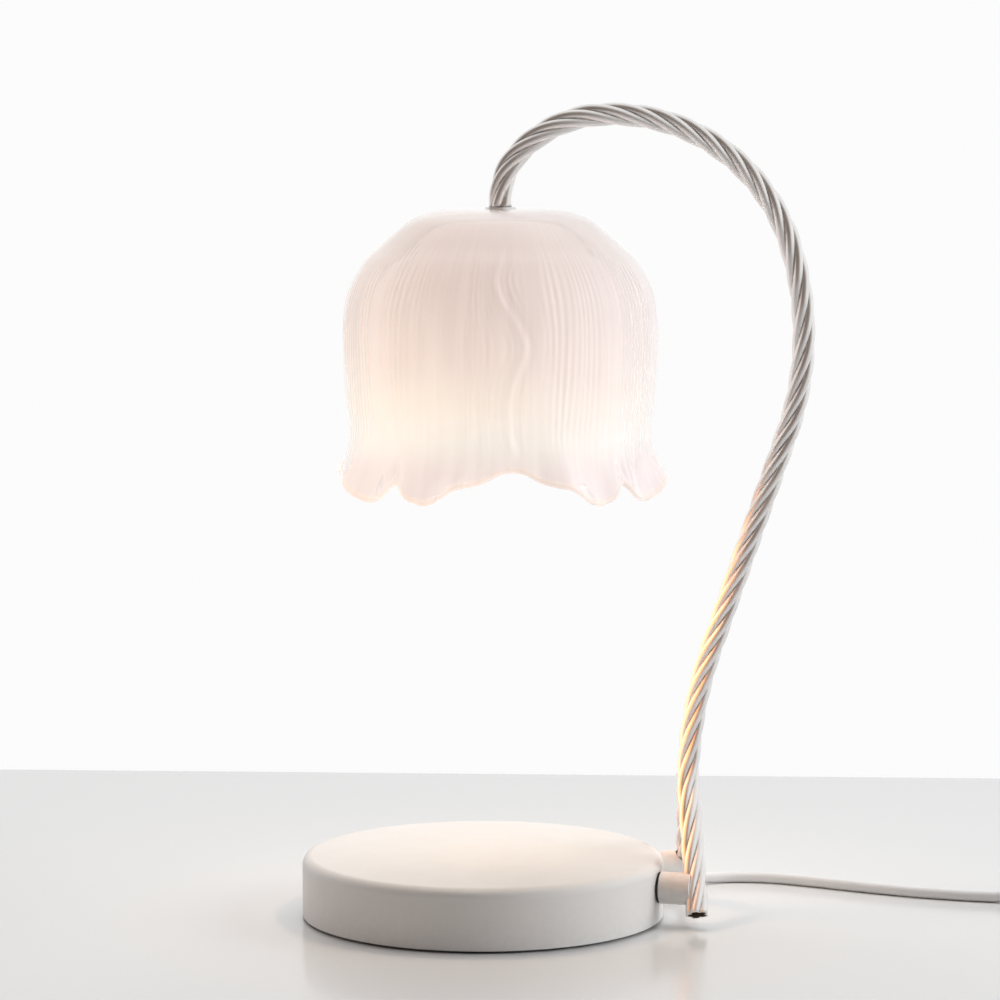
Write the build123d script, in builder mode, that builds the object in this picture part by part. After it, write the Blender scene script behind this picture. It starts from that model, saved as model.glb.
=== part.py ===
from build123d import *
from math import asin, atan2, ceil, cos, degrees, pi, radians, sin, sqrt, tan
import os

# Candle warmer lamp. Millimetres, +Z up. The origin is on the table under the centre of the
# round base, +X points from the base to the arm's foot, and the front is -Y.

os.makedirs("parts", exist_ok=True)

# ---------------------------------------------------------------- driving dimensions
fit_gap = 0.05  # between fixed pieces that seat on each other's round faces
loose_gap = 0.3  # between pieces that pass or move over each other

# Base
base_radius = 75.0
base_height = 26.0  # table to candle plate
shell_lift = 1.1  # the shell's rim stands clear of the table
shell_wall = 1.2
shell_round = 4.0
pad_thick = 2.0
pad_inset = 4.0
plate_thick = 1.5
weight_radius = 62.0
weight_thick = 10.0
weight_clear = 10.0  # between the weight's flat side and the terminal block, for the wiring
screw_inset = 30.0  # from the base's outside
screw_count = 3
post_radius = 4.0
screw_radius = 2.0
screw_head_radius = 3.5
screw_head_thick = 1.5
screw_grip = 8.0  # in the post

# Terminal block
block_inset = 29.0  # from the base's outside
block_y = 6.0
block_size = (12.0, 22.0, 16.0)
terminal_radius = 1.8
terminal_spacing = 12.0

# Arm: straight start, bends, straight limb, one bend back, then two legs
arm_radius = 4.75  # over the lobes
lobe_radius = 1.8
lobe_count = 7
twist_lead = 89.0
sections_per_lead = 10
bore_radius = 2.8
hook_start = 3.0
hook_radii = (27.5, 49.0, 76.5, 123.0)
hook_angles = (42.0, 43.0, 77.0, 37.0)
limb_length = 93.0
limb_radius = 180.0
limb_angle = 15.2
shoulder_drop = 7.5
shoulder_bend = 25.0
leg_height = 52.714  # from the feet to the shoulder, where the legs part
leg_stand = 10.063  # of the shoulder from the base's outside
leg_splay = 31.0  # the feet stand this far in front of and behind the arm
leg_reach = 2.1
foot_height = 6.0

# Stubs between the legs and the base's wall
stub_height = 15.5
stub_radius = 6.6
stub_wrap = 3.0  # how far a stub reaches around its leg
gasket_thick = 1.0
nipple_radius = 4.0
nipple_bore = 2.6
nut_across = 11.0
nut_thick = 4.0
washer_radius = 6.4
washer_thick = 1.5
nipple_proud = 2.0
nipple_short = 1.5  # of the leg

# Shade and its clamp: the bell's points give radius and height from the glass's top
glass_wall = 3.0
glass_hole = 5.2
crown_flat = 24.0
crown_points = ((42.3, -10.0), (57.6, -24.6))
belly = (64.4, -49.5)
waist_points = ((62.4, -86.0), (60.4, -94.5), (66.0, -107.0))
rim = (69.0, -116.0)
petal_count = 8
petal_turn = 4.5  # the first gap between petals, right of the front
petal_depth = 12.0
collar_radius = 6.25
collar_thick = 1.0
clamp_nipple_radius = 3.0
clamp_nipple_bore = 2.0
clamp_nipple_grip = 4.0
grommet_flange = 1.5
grommet_radius = 9.5
clamp_washer_radius = 9.0
clamp_washer_thick = 1.0
clamp_nut_across = 10.0
clamp_nut_thick = 3.5

# Lamp holder and bulb
bracket_wall = 1.2
bracket_width = 12.0
bracket_drop = 12.0
bracket_half = 13.2
bracket_foot = 6.5
holder_size = (30.0, 18.0, 22.0)
holder_screw_x = 9.4
holder_screw_radius = 1.5
holder_screw_head = 2.6
holder_screw_grip = 8.0
pin_circle = 5.0
pin_neck_radius = 1.5
pin_head_radius = 2.5
pin_neck = 3.3
pin_head = 3.2
slot_lip = 2.7
bulb_twist = 20.0
contact_thick = 3.6
bulb_base_radius = 10.0
bulb_base_height = 12.0
bulb_radius = 25.0
bulb_wall = 1.2
bulb_depth = 33.0
lens_thick = 2.0
capsule_radius = 4.5
capsule_length = 20.0

# Wire and lead
wire_radius = 1.5
wire_corner = 3.0
lead_radius = 2.3
relief_azimuth = 32.0
relief_height = 7.8
relief_length = 14.0
relief_flange = 5.0
relief_run = 8.0  # the lead goes on this far in the relief's line
relief_tip = 3.1
relief_neck = 3.5
relief_grip = 2.0

# In-line dimmer
dimmer_centre = (274.0, 17.0)
dimmer_size = (52.0, 28.0, 18.0)
dimmer_corner = 8.0
dimmer_wall = 1.6
lead_level = 7.0  # of the lead where it enters the dimmer
dimmer_relief = 8.0
dimmer_screw_x = 20.0
dimmer_screw_y = 7.5
dimmer_screw_radius = 1.2
dimmer_boss = 2.6
board_size = (30.0, 20.0, 1.6)
board_level = 6.0
rib_spacing = 20.0
control_size = (14.0, 14.0, 6.5)
shaft_radius = 2.0
knob_radius = 11.0
knob_height = 5.0
knob_flutes = 24

# Coil and plug
coil_centre = (307.5, -37.0)
coil_inner = 16.8
coil_outer = 35.2
coil_height = 9.0
plug_axis = (-23.2, 16.1)
plug_start = 302.0
plug_relief = 15.0
plug_length = 35.0
plug_rear = (15.0, 11.0)
plug_front = (26.0, 13.0)
pin_radius = 2.0
pin_length = 19.0
pin_spacing = 19.0

# ---------------------------------------------------------------- sizes worked out from them
inner_wall = base_radius - shell_wall
plate_top = pad_thick + plate_thick
weight_top = plate_top + weight_thick
ceiling = base_height - shell_wall
screw_spots = PolarLocations(base_radius - screw_inset, screw_count, start_angle=60)
block_x = base_radius - block_inset
block_top = plate_top + block_size[2]
weight_flat = block_x - block_size[0] / 2 - weight_clear

# The arm is drawn from its start, then stood on its feet beside the base
with BuildLine(Plane.XZ) as drawn_hook:
    run = Line((0, 0), (0, hook_start))
    for radius, angle in zip(hook_radii, hook_angles):
        run = JernArc(run @ 1, run % 1, radius, -angle)
    run = Line(run @ 1, run @ 1 + (run % 1) * limb_length)
    run = JernArc(run @ 1, run % 1, limb_radius, limb_angle)
drawn_shoulder = run @ 1 + (run % 1) * shoulder_drop
axis_x = base_radius + leg_stand - drawn_shoulder.X
arm_start = foot_height + leg_height - drawn_shoulder.Z
arm_shift = Vector(axis_x, 0, arm_start)
hook_end = run @ 1 + arm_shift
shoulder = drawn_shoulder + arm_shift

glass_top = arm_start - collar_thick
glass_inside = glass_top - glass_wall
clamp_seat = glass_inside - grommet_flange
clamp_nut_top = clamp_seat - clamp_washer_thick
bracket_top = clamp_nut_top - clamp_nut_thick
bracket_under = bracket_top - bracket_wall
bracket_foot_level = bracket_top - bracket_drop
holder_top = bracket_foot_level - bracket_wall
holder_bottom = holder_top - holder_size[2]
lip_top = holder_bottom + slot_lip
bulb_top = holder_bottom - loose_gap
pin_shoulder = bulb_top + pin_neck
pin_top = pin_shoulder + pin_head
cavity_height = pin_top + loose_gap + contact_thick - lip_top
bulb_bottom = bulb_top - bulb_base_height
bulb_face = bulb_bottom - bulb_depth - lens_thick


# ---------------------------------------------------------------- helpers
def save(piece, name):
    """Label a finished piece and write its STEP file."""
    piece.part.label = name
    export_step(piece.part, f"parts/{name}.step")


def wall_point(azimuth, distance, height):
    """Point at an azimuth around the base, a distance from its axis and a height."""
    return Vector(distance * cos(radians(azimuth)), distance * sin(radians(azimuth)), height)


def wall_plane(azimuth, distance, height):
    """Plane at that point which looks straight out of the base's wall."""
    outward = wall_point(azimuth, 1, 0)
    return Plane(origin=wall_point(azimuth, distance, height), x_dir=(0, 0, 1), z_dir=outward)


def shade_plane(height):
    """Level plane on the shade's axis."""
    return Plane(origin=(axis_x, 0, height), z_dir=(0, 0, 1))


def inner_seat(radius):
    """Distance from the base's axis where a flat disc rests inside the round wall."""
    return sqrt(inner_wall**2 - radius**2) - fit_gap


def end_plane(path, share):
    """Plane across a path at a share of its length, with its x direction near +Y."""
    return Plane(origin=path @ share, x_dir=(0, 1, 0), z_dir=path % share)


def rounded_route(points):
    """Straight runs joined by tangent arcs as large as the runs allow."""
    corners = [Vector(*point) for point in points]
    radii = []
    for before, corner, after in zip(corners, corners[1:], corners[2:]):
        arriving = corner - before
        leaving = after - corner
        run = min(arriving.length, leaving.length)
        radii.append(0.45 * run / tan(radians(arriving.get_angle(leaving)) / 2))
    with BuildLine() as route:
        FilletPolyline(*corners, radius=radii)
    print("radii", [round(radius, 1) for radius in radii], "length", round(route.wire().length, 1))
    return route.wire()


def round_tube(path, radius, name):
    """Solid round lead or wire along a path, its volume compared with section times length."""
    with BuildPart() as tube:
        with BuildSketch(Plane(origin=path @ 0, z_dir=path % 0)):
            Circle(radius)
        sweep(path=path)
    expected = pi * radius**2 * path.length
    print(name, "volume against section times length", round(tube.part.volume / expected, 4))
    save(tube, name)


def twisted_rod(path):
    """Rod of lobed sections along a path, each section turned a little further than the last."""
    steps = ceil(path.length / twist_lead * sections_per_lead)
    ring = arm_radius - lobe_radius
    half = 180 / lobe_count
    groove = ring * cos(radians(half)) + sqrt(lobe_radius**2 - (ring * sin(radians(half))) ** 2)
    with BuildPart() as rod:
        for step in range(steps + 1):
            share = step / steps
            turn = 360 * share * path.length / twist_lead
            with BuildSketch(end_plane(path, share)):
                with BuildLine():
                    for lobe in range(lobe_count):
                        crest = turn + lobe * 360 / lobe_count
                        ThreePointArc(
                            Vector(groove, 0).rotate(Axis.Z, crest - half),
                            Vector(arm_radius, 0).rotate(Axis.Z, crest),
                            Vector(groove, 0).rotate(Axis.Z, crest + half),
                        )
                make_face()
        loft()
    return rod.part


# ---------------------------------------------------------------- the arm's lines
hook_line = drawn_hook.line.moved(Location(arm_shift))
front_foot = Vector(shoulder.X + leg_reach, -leg_splay, foot_height)
rear_foot = Vector(front_foot.X, leg_splay, foot_height)

# Where a leg's straight line passes the height of the stubs
stub_share = (shoulder.Z - stub_height) / (shoulder.Z - foot_height)
leg_point = shoulder + (front_foot - shoulder) * stub_share
leg_distance = sqrt(leg_point.X**2 + leg_point.Y**2)
stub_azimuth = degrees(atan2(-leg_point.Y, leg_point.X))
stub_end = leg_distance - arm_radius + stub_wrap
stub_start = base_radius + gasket_thick
washer_seat = inner_seat(washer_radius) - washer_thick
nut_seat = washer_seat - nut_thick
nipple_start = nut_seat - nipple_proud
nipple_end = leg_distance - arm_radius - nipple_short

with BuildLine() as front_leg_line:
    FilletPolyline(hook_end, shoulder, front_foot, radius=shoulder_bend)
with BuildLine() as arm_line:
    add(hook_line)
    add(front_leg_line.line)
with BuildLine() as rear_leg_line:
    Line(shoulder, rear_foot)
arm_path = arm_line.wire()
rear_path = rear_leg_line.wire()

# ---------------------------------------------------------------- base
with BuildPart() as base_shell:
    with BuildSketch(Plane.XY.offset(shell_lift)):
        Circle(base_radius)
    extrude(amount=base_height - shell_lift)
    fillet(base_shell.edges().group_by(Axis.Z)[-1], shell_round)
    offset(amount=-shell_wall, openings=base_shell.faces().sort_by(Axis.Z)[0])
    with BuildSketch(Plane.XY.offset(weight_top)):
        with screw_spots:
            Circle(post_radius)
    extrude(amount=ceiling + fit_gap - weight_top)
    with BuildSketch(Plane.XY.offset(weight_top)):
        with screw_spots:
            Circle(screw_radius + fit_gap)
    extrude(amount=screw_grip + 1, mode=Mode.SUBTRACT)
    for azimuth in (-stub_azimuth, stub_azimuth):
        with BuildSketch(wall_plane(azimuth, inner_wall - shell_wall, stub_height)):
            Circle(nipple_radius + fit_gap)
        extrude(amount=3 * shell_wall, mode=Mode.SUBTRACT)
    with BuildSketch(wall_plane(relief_azimuth, inner_wall - shell_wall, relief_height)):
        Circle(relief_neck + fit_gap)
    extrude(amount=3 * shell_wall, mode=Mode.SUBTRACT)
save(base_shell, "base_shell")

with BuildPart() as base_plate:
    with BuildSketch(Plane.XY.offset(pad_thick)):
        Circle(inner_wall - loose_gap)
        with screw_spots:
            Circle(screw_radius + loose_gap, mode=Mode.SUBTRACT)
    extrude(amount=plate_thick)
save(base_plate, "base_plate")

with BuildPart() as base_pad:
    with BuildSketch():
        Circle(base_radius - pad_inset)
        with screw_spots:
            Circle(screw_head_radius + 2 * loose_gap, mode=Mode.SUBTRACT)
    extrude(amount=pad_thick)
save(base_pad, "base_pad")

with BuildPart() as base_weight:
    with BuildSketch(Plane.XY.offset(plate_top)):
        Circle(weight_radius)
        with Locations((weight_flat, 0)):
            Rectangle(weight_radius, 2 * weight_radius, align=(Align.MIN, Align.CENTER), mode=Mode.SUBTRACT)
        with screw_spots:
            Circle(screw_radius + loose_gap, mode=Mode.SUBTRACT)
    extrude(amount=weight_thick)
    chamfer(base_weight.edges().group_by(Axis.Z)[-1].sort_by(Edge.length)[-2:], 1)
save(base_weight, "base_weight")

with BuildPart() as base_screws:
    with BuildSketch(Plane.XY.offset(pad_thick - screw_head_thick)):
        with screw_spots:
            Circle(screw_head_radius)
    extrude(amount=screw_head_thick)
    with BuildSketch(Plane.XY.offset(pad_thick)):
        with screw_spots:
            Circle(screw_radius)
    extrude(amount=plate_thick + weight_thick + screw_grip)
    with BuildSketch(Plane.XY.offset(pad_thick - screw_head_thick)):
        with screw_spots:
            Rectangle(2 * screw_radius, screw_radius / 3)
            Rectangle(screw_radius / 3, 2 * screw_radius)
    extrude(amount=screw_head_thick / 2, mode=Mode.SUBTRACT)
save(base_screws, "base_screws")

terminal_spots = GridLocations(block_size[0] / 2, terminal_spacing, 2, 2)
with BuildPart() as terminal_block:
    with BuildSketch(Plane(origin=(block_x, block_y, plate_top))):
        RectangleRounded(block_size[0], block_size[1], 1)
    extrude(amount=block_size[2])
    with BuildSketch(Plane(origin=(block_x, block_y, block_top))):
        with terminal_spots:
            Circle(terminal_radius + fit_gap)
    extrude(amount=-block_size[2] / 2, mode=Mode.SUBTRACT)
save(terminal_block, "terminal_block")

with BuildPart() as terminal_screws:
    with BuildSketch(Plane(origin=(block_x, block_y, block_top - 1))):
        with terminal_spots:
            Circle(terminal_radius)
    extrude(amount=1 - block_size[2] / 2)
    with BuildSketch(Plane(origin=(block_x, block_y, block_top - 1))):
        with terminal_spots:
            Rectangle(2 * terminal_radius, terminal_radius / 3)
    extrude(amount=-terminal_radius / 2, mode=Mode.SUBTRACT)
save(terminal_screws, "terminal_screws")

# ---------------------------------------------------------------- arm and legs
with BuildPart() as arm_tube:
    add(twisted_rod(arm_path))
    with BuildSketch(end_plane(arm_path, 0)):
        Circle(bore_radius)
    sweep(path=arm_path, mode=Mode.SUBTRACT)
    with BuildSketch(shade_plane(arm_start)):
        Circle(clamp_nipple_radius + fit_gap)
    extrude(amount=clamp_nipple_grip, mode=Mode.SUBTRACT)
    with BuildSketch(wall_plane(-stub_azimuth, leg_distance, stub_height)):
        Circle(nipple_bore)
    extrude(amount=-arm_radius - 1, mode=Mode.SUBTRACT)
save(arm_tube, "arm_tube")

with BuildPart() as rear_leg:
    add(twisted_rod(rear_path))
    with BuildSketch(end_plane(rear_path, 0)):
        Circle(bore_radius)
    sweep(path=rear_path, mode=Mode.SUBTRACT)
    with BuildSketch(end_plane(front_leg_line.wire(), 0)):
        Circle(arm_radius + fit_gap)
    sweep(path=front_leg_line.wire(), mode=Mode.SUBTRACT)
    add(rear_leg.solids().sort_by(SortBy.VOLUME)[-1], mode=Mode.REPLACE)
save(rear_leg, "rear_leg")


def make_stub(foot, azimuth, name):
    """Round stub from the gasket on the base's wall to a saddle around its leg."""
    along_leg = shoulder - foot
    with BuildPart() as stub:
        with BuildSketch(wall_plane(azimuth, stub_start, stub_height)):
            Circle(stub_radius)
            Circle(nipple_radius + fit_gap, mode=Mode.SUBTRACT)
        extrude(amount=stub_end - stub_start)
        with BuildSketch(Plane(origin=foot, z_dir=along_leg)):
            Circle(arm_radius + fit_gap)
        extrude(amount=along_leg.length, both=True, mode=Mode.SUBTRACT)
    save(stub, name)


make_stub(front_foot, -stub_azimuth, "stub_front")
make_stub(rear_foot, stub_azimuth, "stub_rear")

with BuildPart() as stub_gaskets:
    for azimuth in (-stub_azimuth, stub_azimuth):
        with BuildSketch(wall_plane(azimuth, stub_start, stub_height)):
            Circle(stub_radius - loose_gap)
            Circle(nipple_radius + fit_gap, mode=Mode.SUBTRACT)
        extrude(amount=-2 * gasket_thick)
    with BuildSketch():
        Circle(base_radius + fit_gap)
    extrude(amount=base_height, mode=Mode.SUBTRACT)
save(stub_gaskets, "stub_gaskets")

with BuildPart() as stub_nipples:
    for azimuth in (-stub_azimuth, stub_azimuth):
        with BuildSketch(wall_plane(azimuth, nipple_start, stub_height)):
            Circle(nipple_radius)
            Circle(nipple_bore, mode=Mode.SUBTRACT)
        extrude(amount=nipple_end - nipple_start)
save(stub_nipples, "stub_nipples")

with BuildPart() as stub_washers:
    for azimuth in (-stub_azimuth, stub_azimuth):
        with BuildSketch(wall_plane(azimuth, washer_seat, stub_height)):
            Circle(washer_radius)
            Circle(nipple_radius + fit_gap, mode=Mode.SUBTRACT)
        extrude(amount=2 * washer_thick)
    with BuildSketch():
        Circle(inner_wall - fit_gap)
    extrude(amount=base_height, mode=Mode.INTERSECT)
save(stub_washers, "stub_washers")

with BuildPart() as stub_nuts:
    for azimuth in (-stub_azimuth, stub_azimuth):
        with BuildSketch(wall_plane(azimuth, nut_seat, stub_height)):
            RegularPolygon(nut_across / 2, 6, major_radius=False)
            Circle(nipple_radius + fit_gap, mode=Mode.SUBTRACT)
        extrude(amount=nut_thick)
save(stub_nuts, "stub_nuts")

# The wire runs from the lamp holder up through the clamp nipple, along the arm and the front
# leg, and through the front stub's nipple to the terminal block.
leg_centre = wall_point(-stub_azimuth, leg_distance, stub_height)
wire_turn = Vector(block_x, -block_x * tan(radians(stub_azimuth)), stub_height)
wire_end = Vector(block_x, block_y - block_size[1] / 2, stub_height)
wire_bend = 0.45 * (wire_end - wire_turn).length
with BuildLine() as wire_line:
    Line((axis_x, 0, holder_top), (axis_x, 0, arm_start))
    add(hook_line)
    FilletPolyline(
        hook_end, shoulder, leg_centre, wire_turn, wire_end, radius=(shoulder_bend, wire_corner, wire_bend)
    )
round_tube(wire_line.wire(), wire_radius, "arm_wire")

# ---------------------------------------------------------------- shade and its clamp
with BuildPart() as glass_shade:
    with BuildSketch(Plane(origin=(axis_x, 0, glass_top), x_dir=(1, 0, 0), z_dir=(0, -1, 0))):
        with BuildLine():
            Line((0, rim[1]), (0, 0))
            Line((0, 0), (crown_flat, 0))
            Spline((crown_flat, 0), *crown_points, belly, tangents=((1, 0), (0, -1)))
            Spline(belly, *waist_points, rim, tangents=((0, -1), (0.1, -1)))
            Line(rim, (0, rim[1]))
        make_face()
    revolve(axis=Axis((axis_x, 0, 0), (0, 0, 1)))
    offset(amount=-glass_wall, openings=glass_shade.faces().sort_by(Axis.Z)[0])
    with BuildSketch(shade_plane(glass_top)):
        Circle(glass_hole)
    extrude(amount=-2 * glass_wall, mode=Mode.SUBTRACT)
    # Between two petals the rim is cut away below their round lower edges
    half_petal = belly[0] * tan(radians(180 / petal_count))
    for petal in range(petal_count):
        azimuth = petal_turn - 90 + petal * 360 / petal_count
        outward = wall_point(azimuth, 1, 0)
        cut_origin = Vector(axis_x, 0, glass_top + rim[1]) + outward * (belly[0] / 2)
        with BuildSketch(Plane(origin=cut_origin, x_dir=Vector(0, 0, 1).cross(outward), z_dir=outward)):
            with BuildLine():
                Line((-half_petal, 0), (-half_petal, -petal_depth))
                Line((-half_petal, -petal_depth), (half_petal, -petal_depth))
                Line((half_petal, -petal_depth), (half_petal, 0))
                TangentArc((half_petal, 0), (0, petal_depth), tangent=(-1, 0))
                TangentArc((-half_petal, 0), (0, petal_depth), tangent=(1, 0))
            make_face()
        extrude(amount=belly[0], mode=Mode.SUBTRACT)
save(glass_shade, "glass_shade")

with BuildPart() as shade_collar:
    with BuildSketch(shade_plane(glass_top)):
        Circle(collar_radius)
        Circle(clamp_nipple_radius + fit_gap, mode=Mode.SUBTRACT)
    extrude(amount=collar_thick)
save(shade_collar, "shade_collar")

with BuildPart() as shade_nipple:
    with BuildSketch(shade_plane(arm_start + clamp_nipple_grip)):
        Circle(clamp_nipple_radius)
        Circle(clamp_nipple_bore, mode=Mode.SUBTRACT)
    extrude(amount=bracket_under - clamp_nut_thick - 1 - arm_start - clamp_nipple_grip)
save(shade_nipple, "shade_nipple")

with BuildPart() as glass_grommet:
    with BuildSketch(shade_plane(clamp_seat)):
        Circle(grommet_radius)
    extrude(amount=grommet_flange)
    with BuildSketch(shade_plane(glass_inside)):
        Circle(glass_hole - fit_gap)
    extrude(amount=glass_wall - fit_gap)
    with BuildSketch(shade_plane(clamp_seat)):
        Circle(clamp_nipple_radius + fit_gap)
    extrude(amount=grommet_flange + glass_wall, mode=Mode.SUBTRACT)
save(glass_grommet, "glass_grommet")

with BuildPart() as glass_washer:
    with BuildSketch(shade_plane(clamp_nut_top)):
        Circle(clamp_washer_radius)
        Circle(clamp_nipple_radius + fit_gap, mode=Mode.SUBTRACT)
    extrude(amount=clamp_washer_thick)
save(glass_washer, "glass_washer")

with BuildPart() as clamp_nuts:
    for seat in (clamp_nut_top, bracket_under):
        with BuildSketch(shade_plane(seat)):
            RegularPolygon(clamp_nut_across / 2, 6, major_radius=False)
            Circle(clamp_nipple_radius + fit_gap, mode=Mode.SUBTRACT)
        extrude(amount=-clamp_nut_thick)
save(clamp_nuts, "clamp_nuts")

# ---------------------------------------------------------------- lamp holder and bulb
with BuildPart() as holder_bracket:
    with BuildSketch(Plane.XZ.offset(-bracket_width / 2)):
        with BuildLine() as strap:
            Polyline(
                (axis_x - bracket_foot, holder_top),
                (axis_x - bracket_half, holder_top),
                (axis_x - bracket_half, bracket_top),
                (axis_x + bracket_half, bracket_top),
                (axis_x + bracket_half, holder_top),
                (axis_x + bracket_foot, holder_top),
                (axis_x + bracket_foot, bracket_foot_level),
                (axis_x + bracket_half - bracket_wall, bracket_foot_level),
                (axis_x + bracket_half - bracket_wall, bracket_under),
                (axis_x - bracket_half + bracket_wall, bracket_under),
                (axis_x - bracket_half + bracket_wall, bracket_foot_level),
                (axis_x - bracket_foot, bracket_foot_level),
                close=True,
            )
        make_face()
    extrude(amount=bracket_width)
    with BuildSketch(shade_plane(bracket_top)):
        Circle(clamp_nipple_radius + fit_gap)
    extrude(amount=-2 * bracket_wall, mode=Mode.SUBTRACT)
    with BuildSketch(shade_plane(bracket_foot_level)):
        with Locations((-holder_screw_x, 0), (holder_screw_x, 0)):
            Circle(holder_screw_radius + fit_gap)
    extrude(amount=-2 * bracket_wall, mode=Mode.SUBTRACT)
save(holder_bracket, "holder_bracket")

with BuildPart() as holder_screws:
    with BuildSketch(shade_plane(bracket_foot_level)):
        with Locations((-holder_screw_x, 0), (holder_screw_x, 0)):
            Circle(holder_screw_head)
    extrude(amount=holder_screw_radius)
    fillet(holder_screws.edges().group_by(Axis.Z)[-1], holder_screw_radius / 2)
    with BuildSketch(shade_plane(bracket_foot_level)):
        with Locations((-holder_screw_x, 0), (holder_screw_x, 0)):
            Circle(holder_screw_radius)
    extrude(amount=-bracket_wall - holder_screw_grip)
save(holder_screws, "holder_screws")

# Each pin enters a round hole, then turns under the lip along a curved slot
pin_spots = PolarLocations(pin_circle, 2)
slot_arcs = [CenterArc((0, 0), pin_circle, start, -bulb_twist) for start in (0, 180)]
with BuildPart() as bulb_holder:
    with BuildSketch(shade_plane(holder_bottom)):
        RectangleRounded(holder_size[0], holder_size[1], holder_size[1] / 2 - fit_gap)
    extrude(amount=holder_size[2])
    with BuildSketch(shade_plane(lip_top)):
        for arc in slot_arcs:
            SlotArc(arc, 2 * (pin_head_radius + loose_gap))
    extrude(amount=cavity_height, mode=Mode.SUBTRACT)
    with BuildSketch(shade_plane(holder_bottom)):
        for arc in slot_arcs:
            SlotArc(arc, 2 * (pin_neck_radius + loose_gap))
        with PolarLocations(pin_circle, 2, start_angle=-bulb_twist):
            Circle(pin_head_radius + loose_gap)
    extrude(amount=slot_lip, mode=Mode.SUBTRACT)
    with BuildSketch(shade_plane(holder_top)):
        with Locations((-holder_screw_x, 0), (holder_screw_x, 0)):
            Circle(holder_screw_radius + fit_gap)
    extrude(amount=-holder_screw_grip - 1, mode=Mode.SUBTRACT)
save(bulb_holder, "bulb_holder")

with BuildPart() as holder_contacts:
    with BuildSketch(shade_plane(pin_top + loose_gap)):
        with pin_spots:
            Circle(pin_head_radius - loose_gap)
    extrude(amount=contact_thick)
save(holder_contacts, "holder_contacts")

with BuildPart() as bulb_pins:
    with BuildSketch(shade_plane(bulb_top)):
        with pin_spots:
            Circle(pin_neck_radius)
    extrude(amount=pin_neck)
    with BuildSketch(shade_plane(pin_shoulder)):
        with pin_spots:
            Circle(pin_head_radius)
    extrude(amount=pin_head)
    fillet(bulb_pins.edges().group_by(Axis.Z)[-1], pin_head_radius / 3)
save(bulb_pins, "bulb_pins")

with BuildPart() as bulb_base:
    with BuildSketch(shade_plane(bulb_bottom)):
        Circle(bulb_base_radius)
    extrude(amount=bulb_base_height)
    chamfer(bulb_base.edges().group_by(Axis.Z)[-1], 1)
save(bulb_base, "bulb_base")

rim_level = bulb_face + lens_thick
with BuildPart() as bulb_reflector:
    with BuildSketch(Plane(origin=(axis_x, 0, 0), x_dir=(1, 0, 0), z_dir=(0, -1, 0))):
        with BuildLine():
            Line((0, rim_level), (0, bulb_bottom))
            Line((0, bulb_bottom), (bulb_base_radius, bulb_bottom))
            Spline(
                (bulb_base_radius, bulb_bottom),
                (0.72 * bulb_radius, bulb_bottom - bulb_depth / 3),
                (bulb_radius, rim_level),
                tangents=((0.6, -1), (0.1, -1)),
            )
            Line((bulb_radius, rim_level), (0, rim_level))
        make_face()
    revolve(axis=Axis((axis_x, 0, 0), (0, 0, 1)))
    offset(amount=-bulb_wall, openings=bulb_reflector.faces().sort_by(Axis.Z)[0])
save(bulb_reflector, "bulb_reflector")

with BuildPart() as bulb_lens:
    with BuildSketch(shade_plane(bulb_face)):
        Circle(bulb_radius)
    extrude(amount=lens_thick)
    fillet(bulb_lens.edges().group_by(Axis.Z)[0], lens_thick / 2)
save(bulb_lens, "bulb_lens")

with BuildPart() as bulb_capsule:
    with BuildSketch(shade_plane(bulb_bottom - bulb_wall)):
        Circle(capsule_radius)
    extrude(amount=-capsule_length)
    fillet(bulb_capsule.edges().group_by(Axis.Z)[0], capsule_radius * 0.9)
save(bulb_capsule, "bulb_capsule")

# ---------------------------------------------------------------- lead: relief, dimmer, coil and plug
relief_outside = base_radius + fit_gap
relief_inside = inner_seat(relief_flange - 1)
with BuildPart() as lead_relief:
    with BuildSketch(wall_plane(relief_azimuth, relief_inside - relief_grip, relief_height)):
        Circle(relief_flange - 1)
    extrude(amount=relief_grip)
    with BuildSketch(wall_plane(relief_azimuth, relief_inside - relief_grip, relief_height)):
        Circle(relief_neck)
    extrude(amount=relief_outside + relief_grip - relief_inside + relief_grip)
    with BuildSketch(wall_plane(relief_azimuth, relief_outside, relief_height)):
        Circle(relief_flange)
    extrude(amount=relief_grip)
    with BuildSketch(wall_plane(relief_azimuth, relief_outside + relief_grip, relief_height)):
        Circle(relief_flange - 1)
    with BuildSketch(wall_plane(relief_azimuth, base_radius + relief_length, relief_height)):
        Circle(relief_tip)
    loft()
save(lead_relief, "lead_relief")

dimmer_x, dimmer_y = dimmer_centre
dimmer_left = dimmer_x - dimmer_size[0] / 2
dimmer_right = dimmer_x + dimmer_size[0] / 2
lead_side_points = (
    wall_point(relief_azimuth, base_radius + relief_length, relief_height),
    wall_point(relief_azimuth, base_radius + relief_length + relief_run, relief_height),
    (95.0, 60.3, 2.6),
    (110.0, 64.6, 2.3),
    (128.0, 61.6, 2.3),
    (146.0, 51.6, 2.3),
    (164.0, 40.9, 2.3),
    (182.0, 31.3, 2.3),
    (200.0, 24.3, 2.3),
    (217.0, 19.6, 2.3),
    (dimmer_left - dimmer_relief - relief_run - 2, dimmer_y, lead_level),
    (dimmer_left - dimmer_relief, dimmer_y, lead_level),
)
plug_side_points = (
    (dimmer_right + dimmer_relief, dimmer_y, lead_level),
    (dimmer_right + dimmer_relief + relief_run + 2, dimmer_y, lead_level),
    (331.0, 11.5, 3.6),
    (340.0, -1.0, 2.3),
    (341.6, -18.0, 2.3),
    (340.4, -36.0, 2.3),
)
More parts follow.
